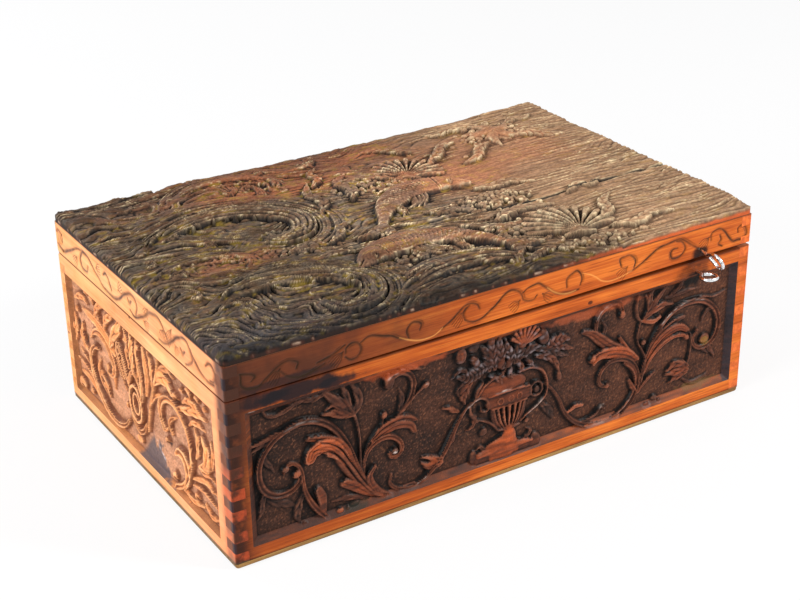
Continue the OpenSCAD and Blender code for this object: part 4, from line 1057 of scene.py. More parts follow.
def carved_wood(name, axis, gloss=0.4):
    """Finish of a carved sheet: its own tints under fine grain, with a soft wax sheen."""
    n = Nodes(name)
    bands = n.noise(260.0, 3.0, 0.6, along_grain(axis, 0.05))
    fine = n.noise(1100.0, 2.0, 0.6)
    shade = n.step(n.plus(n.times(bands, 0.55), n.times(fine, 0.45)), 0.3, 0.7, 0.72, 1.28)
    grey = n.node("ShaderNodeCombineColor", {0: shade, 1: shade, 2: shade}).outputs[0]
    colour = n.mix(1.0, n.attribute("tint", "Color"), grey, "MULTIPLY")
    covered = n.step(n.attribute("cover"), 0.2, 0.9, gloss + 0.12, gloss)
    rough = n.plus(n.step(fine, 0.35, 0.65, -0.06, 0.08), covered)
    height = n.plus(n.times(fine, 0.5), n.times(bands, 0.3))
    return n.finish(colour, rough, n.bump(height, WOOD_BUMP, 0.5), WAX_SPECULAR)


FRONT_WOOD = {
    "deep": linear(112, 46, 13), "middle": linear(180, 84, 26), "pale": linear(228, 128, 48),
    "pore": linear(84, 32, 10), "end_deep": linear(38, 18, 12), "end_pale": linear(168, 68, 34),
}
BASE_WOOD = {
    "deep": linear(92, 66, 36), "middle": linear(140, 104, 58), "pale": linear(176, 140, 84),
    "pore": linear(60, 40, 22), "end_deep": linear(80, 60, 34), "end_pale": linear(128, 98, 56),
}
END_WOOD = {
    "deep": linear(188, 112, 66), "middle": linear(226, 150, 96), "pale": linear(246, 186, 128),
    "pore": linear(150, 78, 42), "end_deep": linear(52, 24, 16), "end_pale": linear(150, 62, 32),
}


def lines_in(n, colour, ink_colour):
    """Dark and pale incised lines, where the board carries them."""
    colour = n.over(colour, ink_colour, n.attribute("ink"), n.step(n.noise(160.0), 0.25, 0.55, 0.7, 1.0))
    return n.over(colour, linear(255, 176, 92), n.attribute("bright"), 0.5)


def front_marks(n, colour):
    """Stains, soot at the near corner, dark lines, painted shadow at the screw eyes and darker wood towards
    the left of the front boards.
    """
    x, y, z = n.axes()
    above = n.step(z, 0.1145, 0.1147)
    below = n.step(z, 0.1147, 0.1145)
    colour = n.over(colour, linear(118, 50, 20), n.step(x, 0.02, -0.19), 0.5)
    stile = n.times(n.step(x, -0.179, -0.187), n.step(z, 0.1145, 0.1140))
    colour = n.over(colour, linear(72, 38, 26), stile, n.step(z, 0.05, 0.09, 0.3, 0.8))
    rim = n.times(n.step(z, 0.1145, 0.1150), n.step(x, 0.02, -0.17))
    colour = n.over(colour, linear(84, 44, 26), rim, 0.85)
    colour = n.over(colour, linear(52, 30, 22), rim, n.step(n.noise(34.0), 0.42, 0.68, 0.0, 0.6))
    colour = n.smudges(colour, linear(24, 20, 24), 120.0, 0.3, (
        ((-152, -129, 109.5), (32, 12, 5.5), 0.96), ((-178, -129, 110), (16, 12, 5), 0.85),
        ((-128, -129, 107), (14, 12, 3.4), 0.9), ((-160, -129, 118), (30, 12, 3.0), 0.7)))
    soot = n.times(n.step(x, -0.1850, -0.1960), n.step(n.noise(110.0), 0.15, 0.5))
    soot = n.times(n.times(soot, 0.9), n.step(y, 0.02, -0.02))
    colour = n.mix(soot, colour, n.mix(n.step(x, -0.1984, -0.1995), linear(34, 19, 14), linear(33, 31, 38)))
    # The back board's fingers have the end's colour where they show at the left
    at_back = n.times(n.step(x, -0.1980, -0.1990), n.step(y, 0.0, 0.05))
    pale_ends = n.mix(n.step(n.noise(300.0), 0.3, 0.7), linear(214, 132, 68), linear(246, 176, 100))
    colour = n.mix(at_back, colour, pale_ends)
    # Rust round the screw eyes, the darkest patches partly a stain and partly their painted shadow
    colour = n.smudges(colour, linear(20, 9, 7), 200.0, 0.4, (
        ((153, -129, 103.5), (8, 8, 3.2), 0.97), ((151, -129, 105), (15, 8, 6), 0.6),
        ((155, -129, 119.5), (6.5, 8, 4.5), 0.95), ((156, -129, 113.0), (12, 8, 3), 0.6)))
    # Dark edges, and a plugged nail hole
    for low, high, amount, part in ((0.1128, 0.1140, 0.75, below), (0.1156, 0.1146, 0.5, above),
                                    (0.1366, 0.1373, 0.6, above), (0.0056, 0.0042, 0.75, below)):
        colour = n.over(colour, linear(46, 16, 8), n.times(n.step(z, low, high), part), amount)
    colour = n.smudges(colour, linear(50, 20, 12), 400.0, 0.3,
                       (((62.5, -129, 107.4), (2.0, 3.0, 1.4), 0.85),), 0.2)
    inside = n.times(n.math("SUBTRACT", 1.0, n.step(y, -0.124, -0.127)), n.step(y, 0.127, 0.124))
    colour = n.over(colour, linear(150, 84, 44), inside, 0.45)
    return lines_in(n, colour, linear(44, 27, 12))


def end_marks(n, colour):
    """Worm holes, soot at the corner and a peach cast towards the front on an end board."""
    x, y, z = n.axes()
    colour = n.over(colour, linear(236, 152, 104), n.step(y, -0.03, -0.12), 0.6)
    colour = n.over(colour, linear(240, 160, 92), n.step(y, -0.03, 0.12), 0.35)
    # The right end's fingers have the front board's colour where they show in front
    at_right = n.times(n.step(y, -0.1265, -0.1285), n.step(x, 0.185, 0.189))
    front_ends = n.mix(n.step(n.noise(300.0), 0.3, 0.7), linear(178, 76, 28), linear(226, 112, 44))
    colour = n.over(colour, front_ends, at_right, 0.9)
    # The left end's fingers are reddened below and dark above
    at_left = n.step(x, 0.0, -0.1)
    grain = n.noise(110.0)
    red_ends = n.mix(n.step(grain, 0.38, 0.68), linear(56, 24, 15), linear(166, 64, 30))
    red_ends = n.mix(n.step(z, 0.045, 0.085), red_ends, linear(46, 25, 19))
    colour = n.over(colour, red_ends, n.times(n.step(y, -0.1270, -0.1284), at_left), 0.95)
    soot = n.times(n.step(y, -0.112, -0.1225), n.step(grain, 0.08, 0.36))
    soot = n.times(n.times(soot, n.step(y, -0.1286, -0.1280)), at_left)
    sooted = n.mix(n.step(grain, 0.4, 0.6), linear(96, 58, 46), linear(58, 40, 40))
    reddened = n.mix(n.step(grain, 0.36, 0.6), linear(104, 50, 32), linear(180, 78, 42))
    sooted = n.mix(n.step(z, 0.06, 0.075), reddened, sooted)
    colour = n.over(colour, sooted, soot, n.step(z, 0.0, 0.07, 0.72, 0.93))
    worms = n.node("ShaderNodeTexVoronoi", {"Vector": n.place, "Scale": 42.0})
    colour = n.mix(n.step(worms.outputs["Distance"], 0.055, 0.035), colour, linear(30, 14, 8))
    colour = n.over(colour, linear(62, 56, 40), n.step(z, 0.0058, 0.0042), 0.75)
    for level in (0.1144, 0.1150, 0.1373):
        line = n.step(n.math("ABSOLUTE", n.math("SUBTRACT", z, level)), 0.0009, 0.0002)
        colour = n.over(colour, linear(90, 40, 20), line, 0.6)
    return lines_in(n, colour, linear(82, 46, 30))


def metal(name, colour, dark, rough, tarnish):
    """Metal with dull spots and fine scratches."""
    n = Nodes(name)
    colour = n.over(colour, dark, n.step(n.noise(700.0), 0.5, 0.7), tarnish)
    rough = n.step(n.noise(900.0, 2.0), 0.3, 0.7, rough - 0.05, rough + 0.12)
    return n.finish(colour, rough, n.bump(n.noise(1400.0, 2.0), 0.0002, 0.25), metallic=1.0)


def wear(piece, material):
    """Gives a CAD node or a new piece one finish on all its slots."""
    slots = piece.data.materials
    if len(slots) == 0:
        slots.append(material)
    for number in range(len(slots)):
        slots[number] = material


# The lid's top: heights above the plank's flat, x from the left, y from the front
def pebbles(field, centre, spread_xy, count, sizes, height, seed, tone=0.0):
    """A heap of small round lumps."""
    rng = np.random.default_rng(seed)
    for _ in range(count):
        dx, dy = rng.normal(0, 0.5, 2)
        size = rng.uniform(*sizes)
        lift = height * math.exp(-(dx * dx + dy * dy) * 0.8) * rng.uniform(0.7, 1.05)
        dome(field, (centre[0] + dx * spread_xy[0], centre[1] + dy * spread_xy[1]),
             (size * rng.uniform(0.9, 1.5), size), rng.uniform(0, 180), max(lift, 0.8),
             tone * rng.uniform(0.4, 1.0))


def rolling_wave(field, points, width, height, tone, seed, strands=6, trails=3):
    """A wave that rolls along its route and curls over, with water lines on its back and behind it."""
    curve = smooth_curve(points, 1.0)
    tangent = np.gradient(curve, axis=0)
    tangent /= np.hypot(tangent[:, 0], tangent[:, 1])[:, None]
    normal = np.column_stack([-tangent[:, 1], tangent[:, 0]])
    turning = np.unwrap(np.arctan2(tangent[:, 1], tangent[:, 0]))
    inner = 1.0 if turning[-1] > turning[len(turning) // 4] else -1.0
    place = np.linspace(0, 1, len(curve))
    body = np.interp(place, [0, 0.3, 0.6, 0.85, 1], [0.35, 0.9, 1, 0.75, 0.4])
    rng = np.random.default_rng(seed)
    # Water lines that run behind the wave and fade
    for step in range(trails, 0, -1):
        away = -inner * (width * 0.5 + 2.9 * step)
        first = int(len(curve) * rng.uniform(0.02, 0.3))
        last = int(len(curve) * rng.uniform(0.8, 1.0))
        line = (curve + normal * (away * body ** 0.5)[:, None])[first:last:5]
        lift = height * (0.66 - 0.05 * step)
        stroke(field, line, [0.8, 3.6, 4.2, 3.0, 0.8], [0.3, lift, lift, lift * 0.6, 0.3], tone * 0.5,
               "tilt" if inner > 0 else "tilt_back")
    stroke(field, points, list(width * np.interp([0, 0.2, 0.4, 0.6, 0.8, 1], place, body)),
           list(height * 0.6 * np.interp([0, 0.2, 0.4, 0.6, 0.8, 1], place, body ** 0.7)), tone, "round")
    for step in range(strands):
        share = step / (strands - 1.0)
        away = inner * (share - 0.5) * width * 0.9
        line = (curve + normal * (away * body)[:, None])[::5]
        lift = height * (0.66 + 0.34 * math.sin(math.pi * min(share * 1.1, 1.0) ** 1.4))
        wide = width / strands * 1.25
        late = rng.uniform(0.0, 0.1)
        keep = slice(int(len(line) * late), len(line) - int(2 * rng.uniform(0, 1)))
        stroke(field, line[keep], [0.8, wide * 0.8, wide, wide, wide * 0.55],
               [0.4, lift * 0.86, lift, lift * 0.96, lift * 0.75], tone,
               rng.choice(["round", "tilt", "tilt_back"]))
    # Water lines that cross its back
    for _ in range(len(curve) // 6):
        steps = np.linspace(0, 1, 6)
        first = rng.uniform(0.02, 0.84)
        from_side, to_side = rng.uniform(-0.6, 0.6, 2)
        spots = ((first + rng.uniform(0.08, 0.2) * steps).clip(0, 1) * (len(curve) - 1)).astype(int)
        away = (from_side + (to_side - from_side) * steps) * width * body[spots]
        lift = height * rng.uniform(0.62, 0.98)
        wide = rng.uniform(1.4, 3.2)
        stroke(field, curve[spots] + normal[spots] * away[:, None], [0.6, wide, wide, 0.6],
               [lift * 0.5, lift, lift, lift * 0.5], tone * rng.uniform(),
               rng.choice(["round", "tilt", "tilt_back"]))
    # Foam along the lip
    for step in range(16):
        t = rng.uniform(0.25, 1.0)
        at = int(t * (len(curve) - 1))
        spot = curve[at] + normal[at] * inner * width * rng.uniform(0.25, 0.62)
        dome(field, tuple(spot), (rng.uniform(1.2, 2.8), rng.uniform(1.0, 1.8)), rng.uniform(0, 180),
             height * rng.uniform(0.45, 0.8), 0.0)


def fish(field, points, width, height, turned, tone=0.8):
    """A leaping fish, its head at the first point, with ribbed scales and fins."""
    curve = smooth_curve(points)
    tail = curve[-1]
    near = curve[-14]
    heading = (tail - near) / np.hypot(*(tail - near))
    across = np.array([-heading[1], heading[0]]) * turned
    # Tail and fins
    for side, reach in ((1, 1.0), (-1, 1.0), (0.45, 0.75), (-0.45, 0.75), (0.0, 0.6)):
        tip = tail + heading * 14 * reach + across * 15 * side
        middle = tail + heading * 8 + across * 6.5 * side
        leaf(field, [tuple(near), tuple(middle), tuple(tip)], [3, 8, 2.5],
             [height * 0.62, height * 0.6, height * 0.4], 6,
             0.1, 0.5, tone * 0.4, vein=0.5)
    for place, lean, reach, size in ((0.42, 1, 15, 16), (0.4, -1, 11, 11), (0.7, 1, 8, 8)):
        root = curve[int(place * (len(curve) - 1))]
        ahead = curve[min(int(place * (len(curve) - 1)) + 12, len(curve) - 1)]
        way = (ahead - root) / np.hypot(*(ahead - root))
        out = np.array([-way[1], way[0]]) * turned * lean
        for step in range(4):
            foot = root + out * width * 0.3 + way * (step - 1.5) * size * 0.24
            stroke(field, [tuple(foot), tuple(foot + out * reach * 0.6 + way * reach * 0.4),
                           tuple(foot + out * reach * (1 - 0.1 * step) + way * reach * 1.0)],
                   [size * 0.36, size * 0.32, 1.2], [height * 0.66, height * 0.55, height * 0.36], tone * 0.4,
                   "tilt")
    # Body with rows of scales, gill and mouth
    where = field.window(curve, width / 2 + 2)
    place, side, length = along_curve(field, where, curve)
    half = width / 2 * np.interp(place, [0, 0.06, 0.2, 0.4, 0.62, 0.85, 1.0],
                                 [0.18, 0.52, 0.88, 1.0, 0.8, 0.36, 0.24])
    v = unit(np.abs(side) / half)
    body = np.interp(place, [0, 0.15, 0.4, 0.8, 1.0], [0.6, 0.92, 1.0, 0.8, 0.6])
    body = body * height * (0.3 + 0.7 * np.sqrt(1 - v ** 2))
    run = place * length
    bowed = run + 3.0 * v ** 2
    row = np.floor(bowed / 3.1)
    scale = np.abs(((side / 3.0 + 0.5 * (row % 2)) % 1.0) - 0.5) * 2
    step = (bowed / 3.1 + 0.3 * scale ** 2) % 1.0
    behind_head = unit((place - 0.24) / 0.05)
    body = body - behind_head * (0.75 * (1 - step) ** 2) * unit(1.25 - v)
    stripes = np.abs(np.sin(bowed * math.pi / 1.7)) * behind_head
    body = body - 0.18 * (1 - stripes)
    gill = np.abs(run - (0.2 * length + 2.0 * (1 - v ** 2)))
    body = body - 1.0 * np.exp(-(gill / 0.8) ** 2) - 0.5 * np.exp(-((gill - 2.4) / 0.7) ** 2)
    mouth = np.exp(-((side - half * 0.18) / 0.7) ** 2) * unit((0.075 - place) / 0.02)
    body = body - 1.2 * mouth
    edge = unit((half - np.abs(side)) / 0.8 + 0.3)
    field.lay(where, body, edge, tone)
    eye_at = curve[int(0.12 * (len(curve) - 1))]
    ahead = curve[int(0.12 * (len(curve) - 1)) + 4]
    way = (ahead - eye_at) / np.hypot(*(ahead - eye_at))
    eye_at = eye_at + np.array([-way[1], way[0]]) * turned * width * 0.14
    ring(field, eye_at, 2.1, 1.3, height * 1.0, tone)
    dome(field, eye_at, (1.3, 1.3), 0, height * 0.98, 0.2)


def scallop(field, centre, radius, turn, height, tone=0.3):
    """A ribbed shell, fanning out from its hinge."""
    heading = np.array(unit_vector(turn))
    foot = np.array(centre) - radius * 0.78 * heading
    count = 13
    for step in range(count):
        t = (step - (count - 1) / 2) / ((count - 1) / 2)
        tip = foot + radius * (1.78 - 0.42 * t * t) * np.array(unit_vector(turn + 66 * t))
        lift = height * (1.0 - 0.35 * t * t)
        stroke(field, [tuple(foot), tuple(foot + 0.5 * (tip - foot)), tuple(tip)],
               [1.2, radius * 0.125, radius * 0.225], [lift * 0.72, lift, lift * 0.9, lift * 0.55], tone,
               "round")
    side = np.array([-heading[1], heading[0]])
    stroke(field, [tuple(foot - side * radius * 0.42), tuple(foot), tuple(foot + side * radius * 0.42)],
           [3, 6.5, 3], [height * 0.45, height * 0.8, height * 0.45], tone, "flat", 1)


def starfish(field, centre, radius, turn, height, tone=0.5):
    """Five tapering arms with rows of bumps."""
    for arm in range(5):
        c, s = unit_vector(turn + 72 * arm)
        middle = (centre[0] + radius * 0.5 * c, centre[1] + radius * 0.5 * s)
        c, s = unit_vector(turn + 72 * arm + 14)
        tip = (centre[0] + radius * c, centre[1] + radius * s)
        stroke(field, [centre, middle, tip], [radius * 0.52, radius * 0.36, 2.0],
               [height, height * 0.8, height * 0.4], tone)
        for step in range(1, 7):
            t = step / 7.5
            along = smooth_curve([centre, middle, tip])
            spot = along[int(t * (len(along) - 1))]
            dome(field, tuple(spot), (1.1, 1.1), 0, height * (1.12 - 0.62 * t), tone * 0.5)


def kelp(field, points, width, height, lobes=5, tone=0.1):
    """A frond of weed with a frilled edge."""
    leaf(field, points, [width * 0.3, width, width, width * 0.8, 1.5],
         [height, height, height * 0.8, height * 0.5], lobes, 0.35, 0.8, tone, vein=0.6)


def water(field, seed):
    """Flowing grain-like water lines over the whole lid, bent round the larger forms."""
    x, y = field.x, field.y
    left = unit((235 - x) / 120)
    warp = field.noise(26, 60, seed) * 9 + field.noise(11, 34, seed + 1) * 4.5
    warp = warp + field.noise(5, 13, seed + 2) * (1.2 + 1.6 * left)
    warp = warp + field.noise(16, 18, seed + 8) * 9.0 * left
    flow = y * 0.96 + 0.10 * x + warp + 7.0 * np.sin(x / 46.0 + y / 70.0)
    for cx, cy, strength, size in ((92, 36, 34, 30), (104, 148, 34, 30), (30, 92, -22, 26), (38, 215, 24, 24),
                                   (190, 96, 14, 34), (330, 212, 14, 26), (276, 44, 16, 30),
                                   (240, 186, 14, 30), (16, 30, -18, 22), (196, 16, 10, 20),
                                   (160, 240, -10, 22), (56, 104, 18, 18), (14, 176, 14, 18),
                                   (124, 214, 18, 18), (36, 160, -14, 18), (150, 110, 12, 16)):
        flow = flow + strength * np.exp(-((x - cx) ** 2 + (y - cy) ** 2) / (2 * size * size))
    wide = np.abs(np.sin(flow * math.pi / 8.6))
    middle = np.abs(np.sin(flow * math.pi / 4.6 + 1.2 * field.noise(9, 26, seed + 9)))
    fine = np.abs(np.sin(flow * math.pi / 2.9 + 1.5 * field.noise(8, 22, seed + 3)))
    amount = 0.5 + 0.5 * field.noise(16, 34, seed + 4)
    calm = bulge(x, y, (300, 176), (78, 56), 2)
    for centre, reach, power, most in (((190, 236), (80, 16), 1, 0.8), ((150, 208), (58, 18), 2, 0.75),
                                       ((66, 112), (30, 12), 2, 0.7)):
        calm = np.maximum(calm, most * bulge(x, y, centre, reach, power))
    field.flow = flow
    field.calm = calm
    swell = field.noise(40, 55, seed + 5) + (0.5 + 1.3 * left) * field.noise(13, 24, seed + 6)
    lines = 1.7 * left * (0.3 + amount) * wide ** 0.6
    lines = lines + (1.1 + 0.2 * left) * (0.5 + 0.6 * amount) * middle ** 0.7
    lines = lines + 0.55 * (1 - 0.4 * left) * fine ** 0.8
    field.height = (lines - 1.1 - 0.7 * left) * (1 - 0.8 * calm) + swell * (1 - 0.5 * calm)
    field.height = field.height - 0.1 + 0.12 * calm * fine


def stream(field, start, length, step=1.5):
    """Points of a line that follows the water from a start."""
    along_y, along_x = np.gradient(field.flow, field.cell)
    points = [np.array(start, float)]
    for _ in range(int(abs(length) / step)):
        i = int(np.clip((points[-1][0] - field.xs[0]) / field.cell, 0, field.nx - 1))
        j = int(np.clip((points[-1][1] - field.ys[0]) / field.cell, 0, field.ny - 1))
        way = np.array([along_y[j, i], -along_x[j, i]])
        size = np.hypot(*way)
        if size < 1e-3:
            break
        points.append(points[-1] + way / size * step * np.sign(length))
    return points[::3] if len(points) > 9 else points


# A curled crest's line, in sizes of the crest
HOOK = ((-1.9, -0.1), (-1.1, -0.12), (-0.4, 0.05), (0.2, 0.4), (0.5, 0.9), (0.36, 1.3), (0.0, 1.4),
        (-0.25, 1.18), (-0.12, 0.92), (0.08, 1.0))


def hook(field, centre, heading, size, hand, height, tone=0.0):
    """A small wave crest that rises from the water and curls over."""
    c, s = unit_vector(heading)
    for number, (scale, shift) in enumerate(((1.45, -0.45), (1.3, -0.22), (1.05, 0.0), (0.7, 0.2))):
        points = []
        for u, w in HOOK[:5 if number == 0 else 7 if number == 1 else 10]:
            u = u * scale * size
            w = (w * scale + shift) * size * hand
            points.append((centre[0] + u * c - w * s, centre[1] + u * s + w * c))
        wide = size * (0.27 if number > 1 else 0.2)
        lift = height * (1.0 - 0.16 * abs(number - 2))
        stroke(field, points, [0.8, wide, wide * 1.2, wide, wide * 0.7, wide * 0.5],
               [0.3, lift * 0.45, lift * 0.8, lift, lift * 0.9, lift * 0.7], tone,
               "hollow" if number == 2 else "tilt", 1 if number == 2 else 0)


# Routes of the lid's main forms, as in the solids: x from the left side, y from the front
FRONT_WAVE = [(16, 58), (44, 72), (76, 74), (104, 62), (120, 42), (112, 22), (92, 16), (84, 30)]
REAR_WAVE = [(20, 158), (50, 178), (84, 186), (114, 176), (132, 154), (126, 132), (106, 126), (98, 140)]
FRONT_RIPPLE = [(128, 14), (160, 30), (192, 32), (216, 22), (212, 10)]
SIDE_RIPPLE = [(6, 110), (30, 124), (56, 124), (74, 112), (70, 100)]
BACK_RIPPLE = [(66, 222), (98, 238), (130, 236), (148, 222), (144, 208)]
FRONT_FISH = [(126, 58), (146, 72), (172, 76), (198, 70), (216, 54), (226, 36)]
REAR_FISH = [(262, 140), (240, 150), (214, 148), (192, 134), (178, 116), (170, 104)]
WEEDS = (
    [(238, 72), (252, 80), (270, 82), (290, 78)], [(298, 36), (312, 46), (318, 60), (332, 70)],
    [(300, 24), (316, 20), (332, 26), (348, 22)], [(150, 150), (160, 166), (158, 184), (168, 204)],
    [(180, 160), (188, 174), (186, 192), (200, 206)], [(262, 190), (276, 200), (286, 212), (300, 216)],
    [(260, 128), (274, 125), (288, 127), (304, 119)], [(344, 200), (356, 196), (364, 186), (378, 182)],
    [(318, 196), (306, 190), (298, 180), (284, 176)])
SMALL_WEEDS = (
    [(242, 18), (230, 14), (224, 12), (218, 16)], [(352, 222), (362, 228), (372, 226), (382, 232)],
    [(322, 232), (310, 238), (298, 236), (286, 244)], [(136, 84), (124, 88), (112, 86), (98, 90)],
    [(242, 58), (234, 66), (226, 72), (216, 84)], [(168, 196), (178, 206), (178, 218), (188, 228)],
    [(224, 176), (214, 186), (204, 192), (196, 204)], [(208, 112), (216, 106), (228, 106), (240, 100)],
    [(130, 104), (142, 112), (150, 124), (162, 130)], [(262, 216), (252, 222), (244, 232), (230, 236)],
    [(310, 88), (322, 94), (332, 90), (344, 96)])


def lid_field(seed):
    """The whole top: a rolling sea with waves, two fish, shells, a starfish and weed."""
    field = Field(0.0, BOX_W, 0.0, BOX_D, LID_CELL)
    water(field, seed)
    rng = np.random.default_rng(seed + 50)
    # Long ridges that follow the water
    for _ in range(230):
        x = rng.uniform(-10, 250) if rng.uniform() < 0.7 else rng.uniform(230, 390)
        y = rng.uniform(3, 255)
        if field.calm[int(y / field.cell), int(np.clip(x, 0, 399) / field.cell)] > rng.uniform(0.25, 0.75):
            continue
        length = rng.uniform(26, 90)
        lift = rng.uniform(0.9, 2.6) * (1.0 if x < 230 else 0.55)
        wide = rng.uniform(2.6, 7.0)
        points = stream(field, (x, y), length)
        if len(points) < 4:
            continue
        stroke(field, points, [0.8, wide, wide, wide * 0.7, 0.8], [0.3, lift, lift, lift * 0.7, 0.3],
               0.25 * rng.uniform(0, 1) ** 2, rng.choice(["tilt", "tilt_back", "cove", "cove_back"]),
               int(rng.integers(0, 3)), base=-0.4)
    # Small crests over the left half and along the front, which follow the water
    along_y, along_x = np.gradient(field.flow, field.cell)
    for number in range(34):
        if number < 24:
            centre = (rng.uniform(16, 150), rng.uniform(34, 240))
        elif number < 29:
            centre = (rng.uniform(130, 300), rng.uniform(16, 34))
        else:
            centre = (rng.uniform(120, 230), rng.uniform(206, 238))
        i = int(centre[0] / field.cell)
        j = int(centre[1] / field.cell)
        way = math.degrees(math.atan2(-along_x[j, i], along_y[j, i]))
        size = rng.uniform(4.0, 8.5)
        hook(field, centre, way + rng.normal(0, 14), size, rng.choice([-1, 1]),
             1.2 + 0.24 * size + rng.uniform(0, 0.6), 0.25 * rng.uniform())
        if number % 2 == 0:
            pebbles(field, (centre[0] + rng.uniform(-4, 4), centre[1] + rng.uniform(-4, 4)),
                    (size * 0.9, size * 0.6), 6, (0.8, 1.6), 2.6, int(rng.integers(10000)))
    rolling_wave(field, SIDE_RIPPLE, 12, 4.4, 0.1, 21, 3, 3)
    rolling_wave(field, BACK_RIPPLE, 12, 4.4, 0.15, 22, 3, 3)
    rolling_wave(field, FRONT_RIPPLE, 12, 4.4, 0.1, 23, 3, 3)
    rolling_wave(field, FRONT_WAVE, 18, 6.2, 0.0, 24, 6, 8)
    rolling_wave(field, REAR_WAVE, 18, 6.2, 0.1, 25, 6, 8)
    for route in SMALL_WEEDS:
        kelp(field, route, 7, 3.2, 6, 0.1)
    for centre, reach, count, height, tone, number in (
            ((256, 106), (30, 13), 190, 4.8, 0.1, 3), ((238, 56), (14, 18), 90, 4.2, 0.1, 4),
            ((270, 14), (36, 7), 90, 3.4, 0.1, 7), ((334, 212), (28, 18), 130, 3.8, 0.2, 8),
            ((196, 176), (24, 12), 90, 3.8, 0.1, 9), ((140, 52), (10, 8), 30, 3.4, 0.1, 10),
            ((110, 106), (20, 9), 60, 3.4, 0.1, 12), ((170, 56), (24, 6), 60, 3.4, 0.1, 13),
            ((222, 170), (16, 8), 50, 3.4, 0.1, 14)):
        pebbles(field, centre, reach, count, (1.1, 2.6), height, number, tone)
    for route in WEEDS:
        kelp(field, route, 9, 3.8, 6, 0.15)
    fish(field, REAR_FISH, 26, 7.0, 1, 0.45)
    fish(field, FRONT_FISH, 26, 7.3, -1, 0.5)
    scallop(field, (276, 44), 24, 80, 7.0, 0.3)
    scallop(field, (240, 186), 20, 60, 5.4, 0.35)
    starfish(field, (334, 212), 24, 20, 5.0, 0.6)
    for points in (((306, 120), (330, 124), (352, 121)), ((346, 62), (362, 58), (384, 66)),
                   ((120, 218), (150, 222), (186, 214)), ((330, 150), (352, 156), (378, 150))):
        groove(field, points, [0.8, 1.6, 0.8], [0.3, 1.0, 0.3])
    groove(field, [(236, 92), (300, 92), (399, 92)], [1.2, 2.2, 2.4], [0.8, 2.4, 2.6])
    # The right end stands a little higher, with long parallel cuts
    x, y = field.x, field.y
    sway = 2.5 * soft_noise(x.shape, 20, 60, seed + 60)
    cuts = np.abs(np.sin((y + 0.12 * x + sway) * math.pi / 5.2)) ** 0.8
    end = unit((x - 292) / 70) * np.clip((y - 6) / 20, 0.3, 1)
    flat_part = unit(1.6 - np.maximum(field.height, 0) / 1.6)
    field.height = field.height + end * (1.9 + 0.5 * soft_noise(x.shape, 22, 40, seed + 61))
    field.height = field.height + 0.8 * end * cuts * flat_part
    leftward = np.clip((300 - x) / 80, 0.35, 1)
    field.height = field.height + 0.22 * soft_noise(x.shape, 1.5, 2.2, seed + 62) * leftward
    return field


# as well as the dark front edge and the joint between the planks
# ridge and pale paint highlights as well as rubbed wear; black paints shade in hollows and on steep sides,
LID_PALETTE = {
    "deep": linear(38, 28, 22), "dull": linear(88, 67, 50), "ridge": linear(146, 120, 90),
    "red": linear(104, 56, 38), "red_pale": linear(162, 98, 64), "olive": linear(156, 130, 46),
    "black": linear(9, 8, 9), "pale": linear(228, 208, 168), "tan": linear(140, 108, 82),
    "slate": linear(46, 48, 56), "grey": linear(96, 92, 84),
}


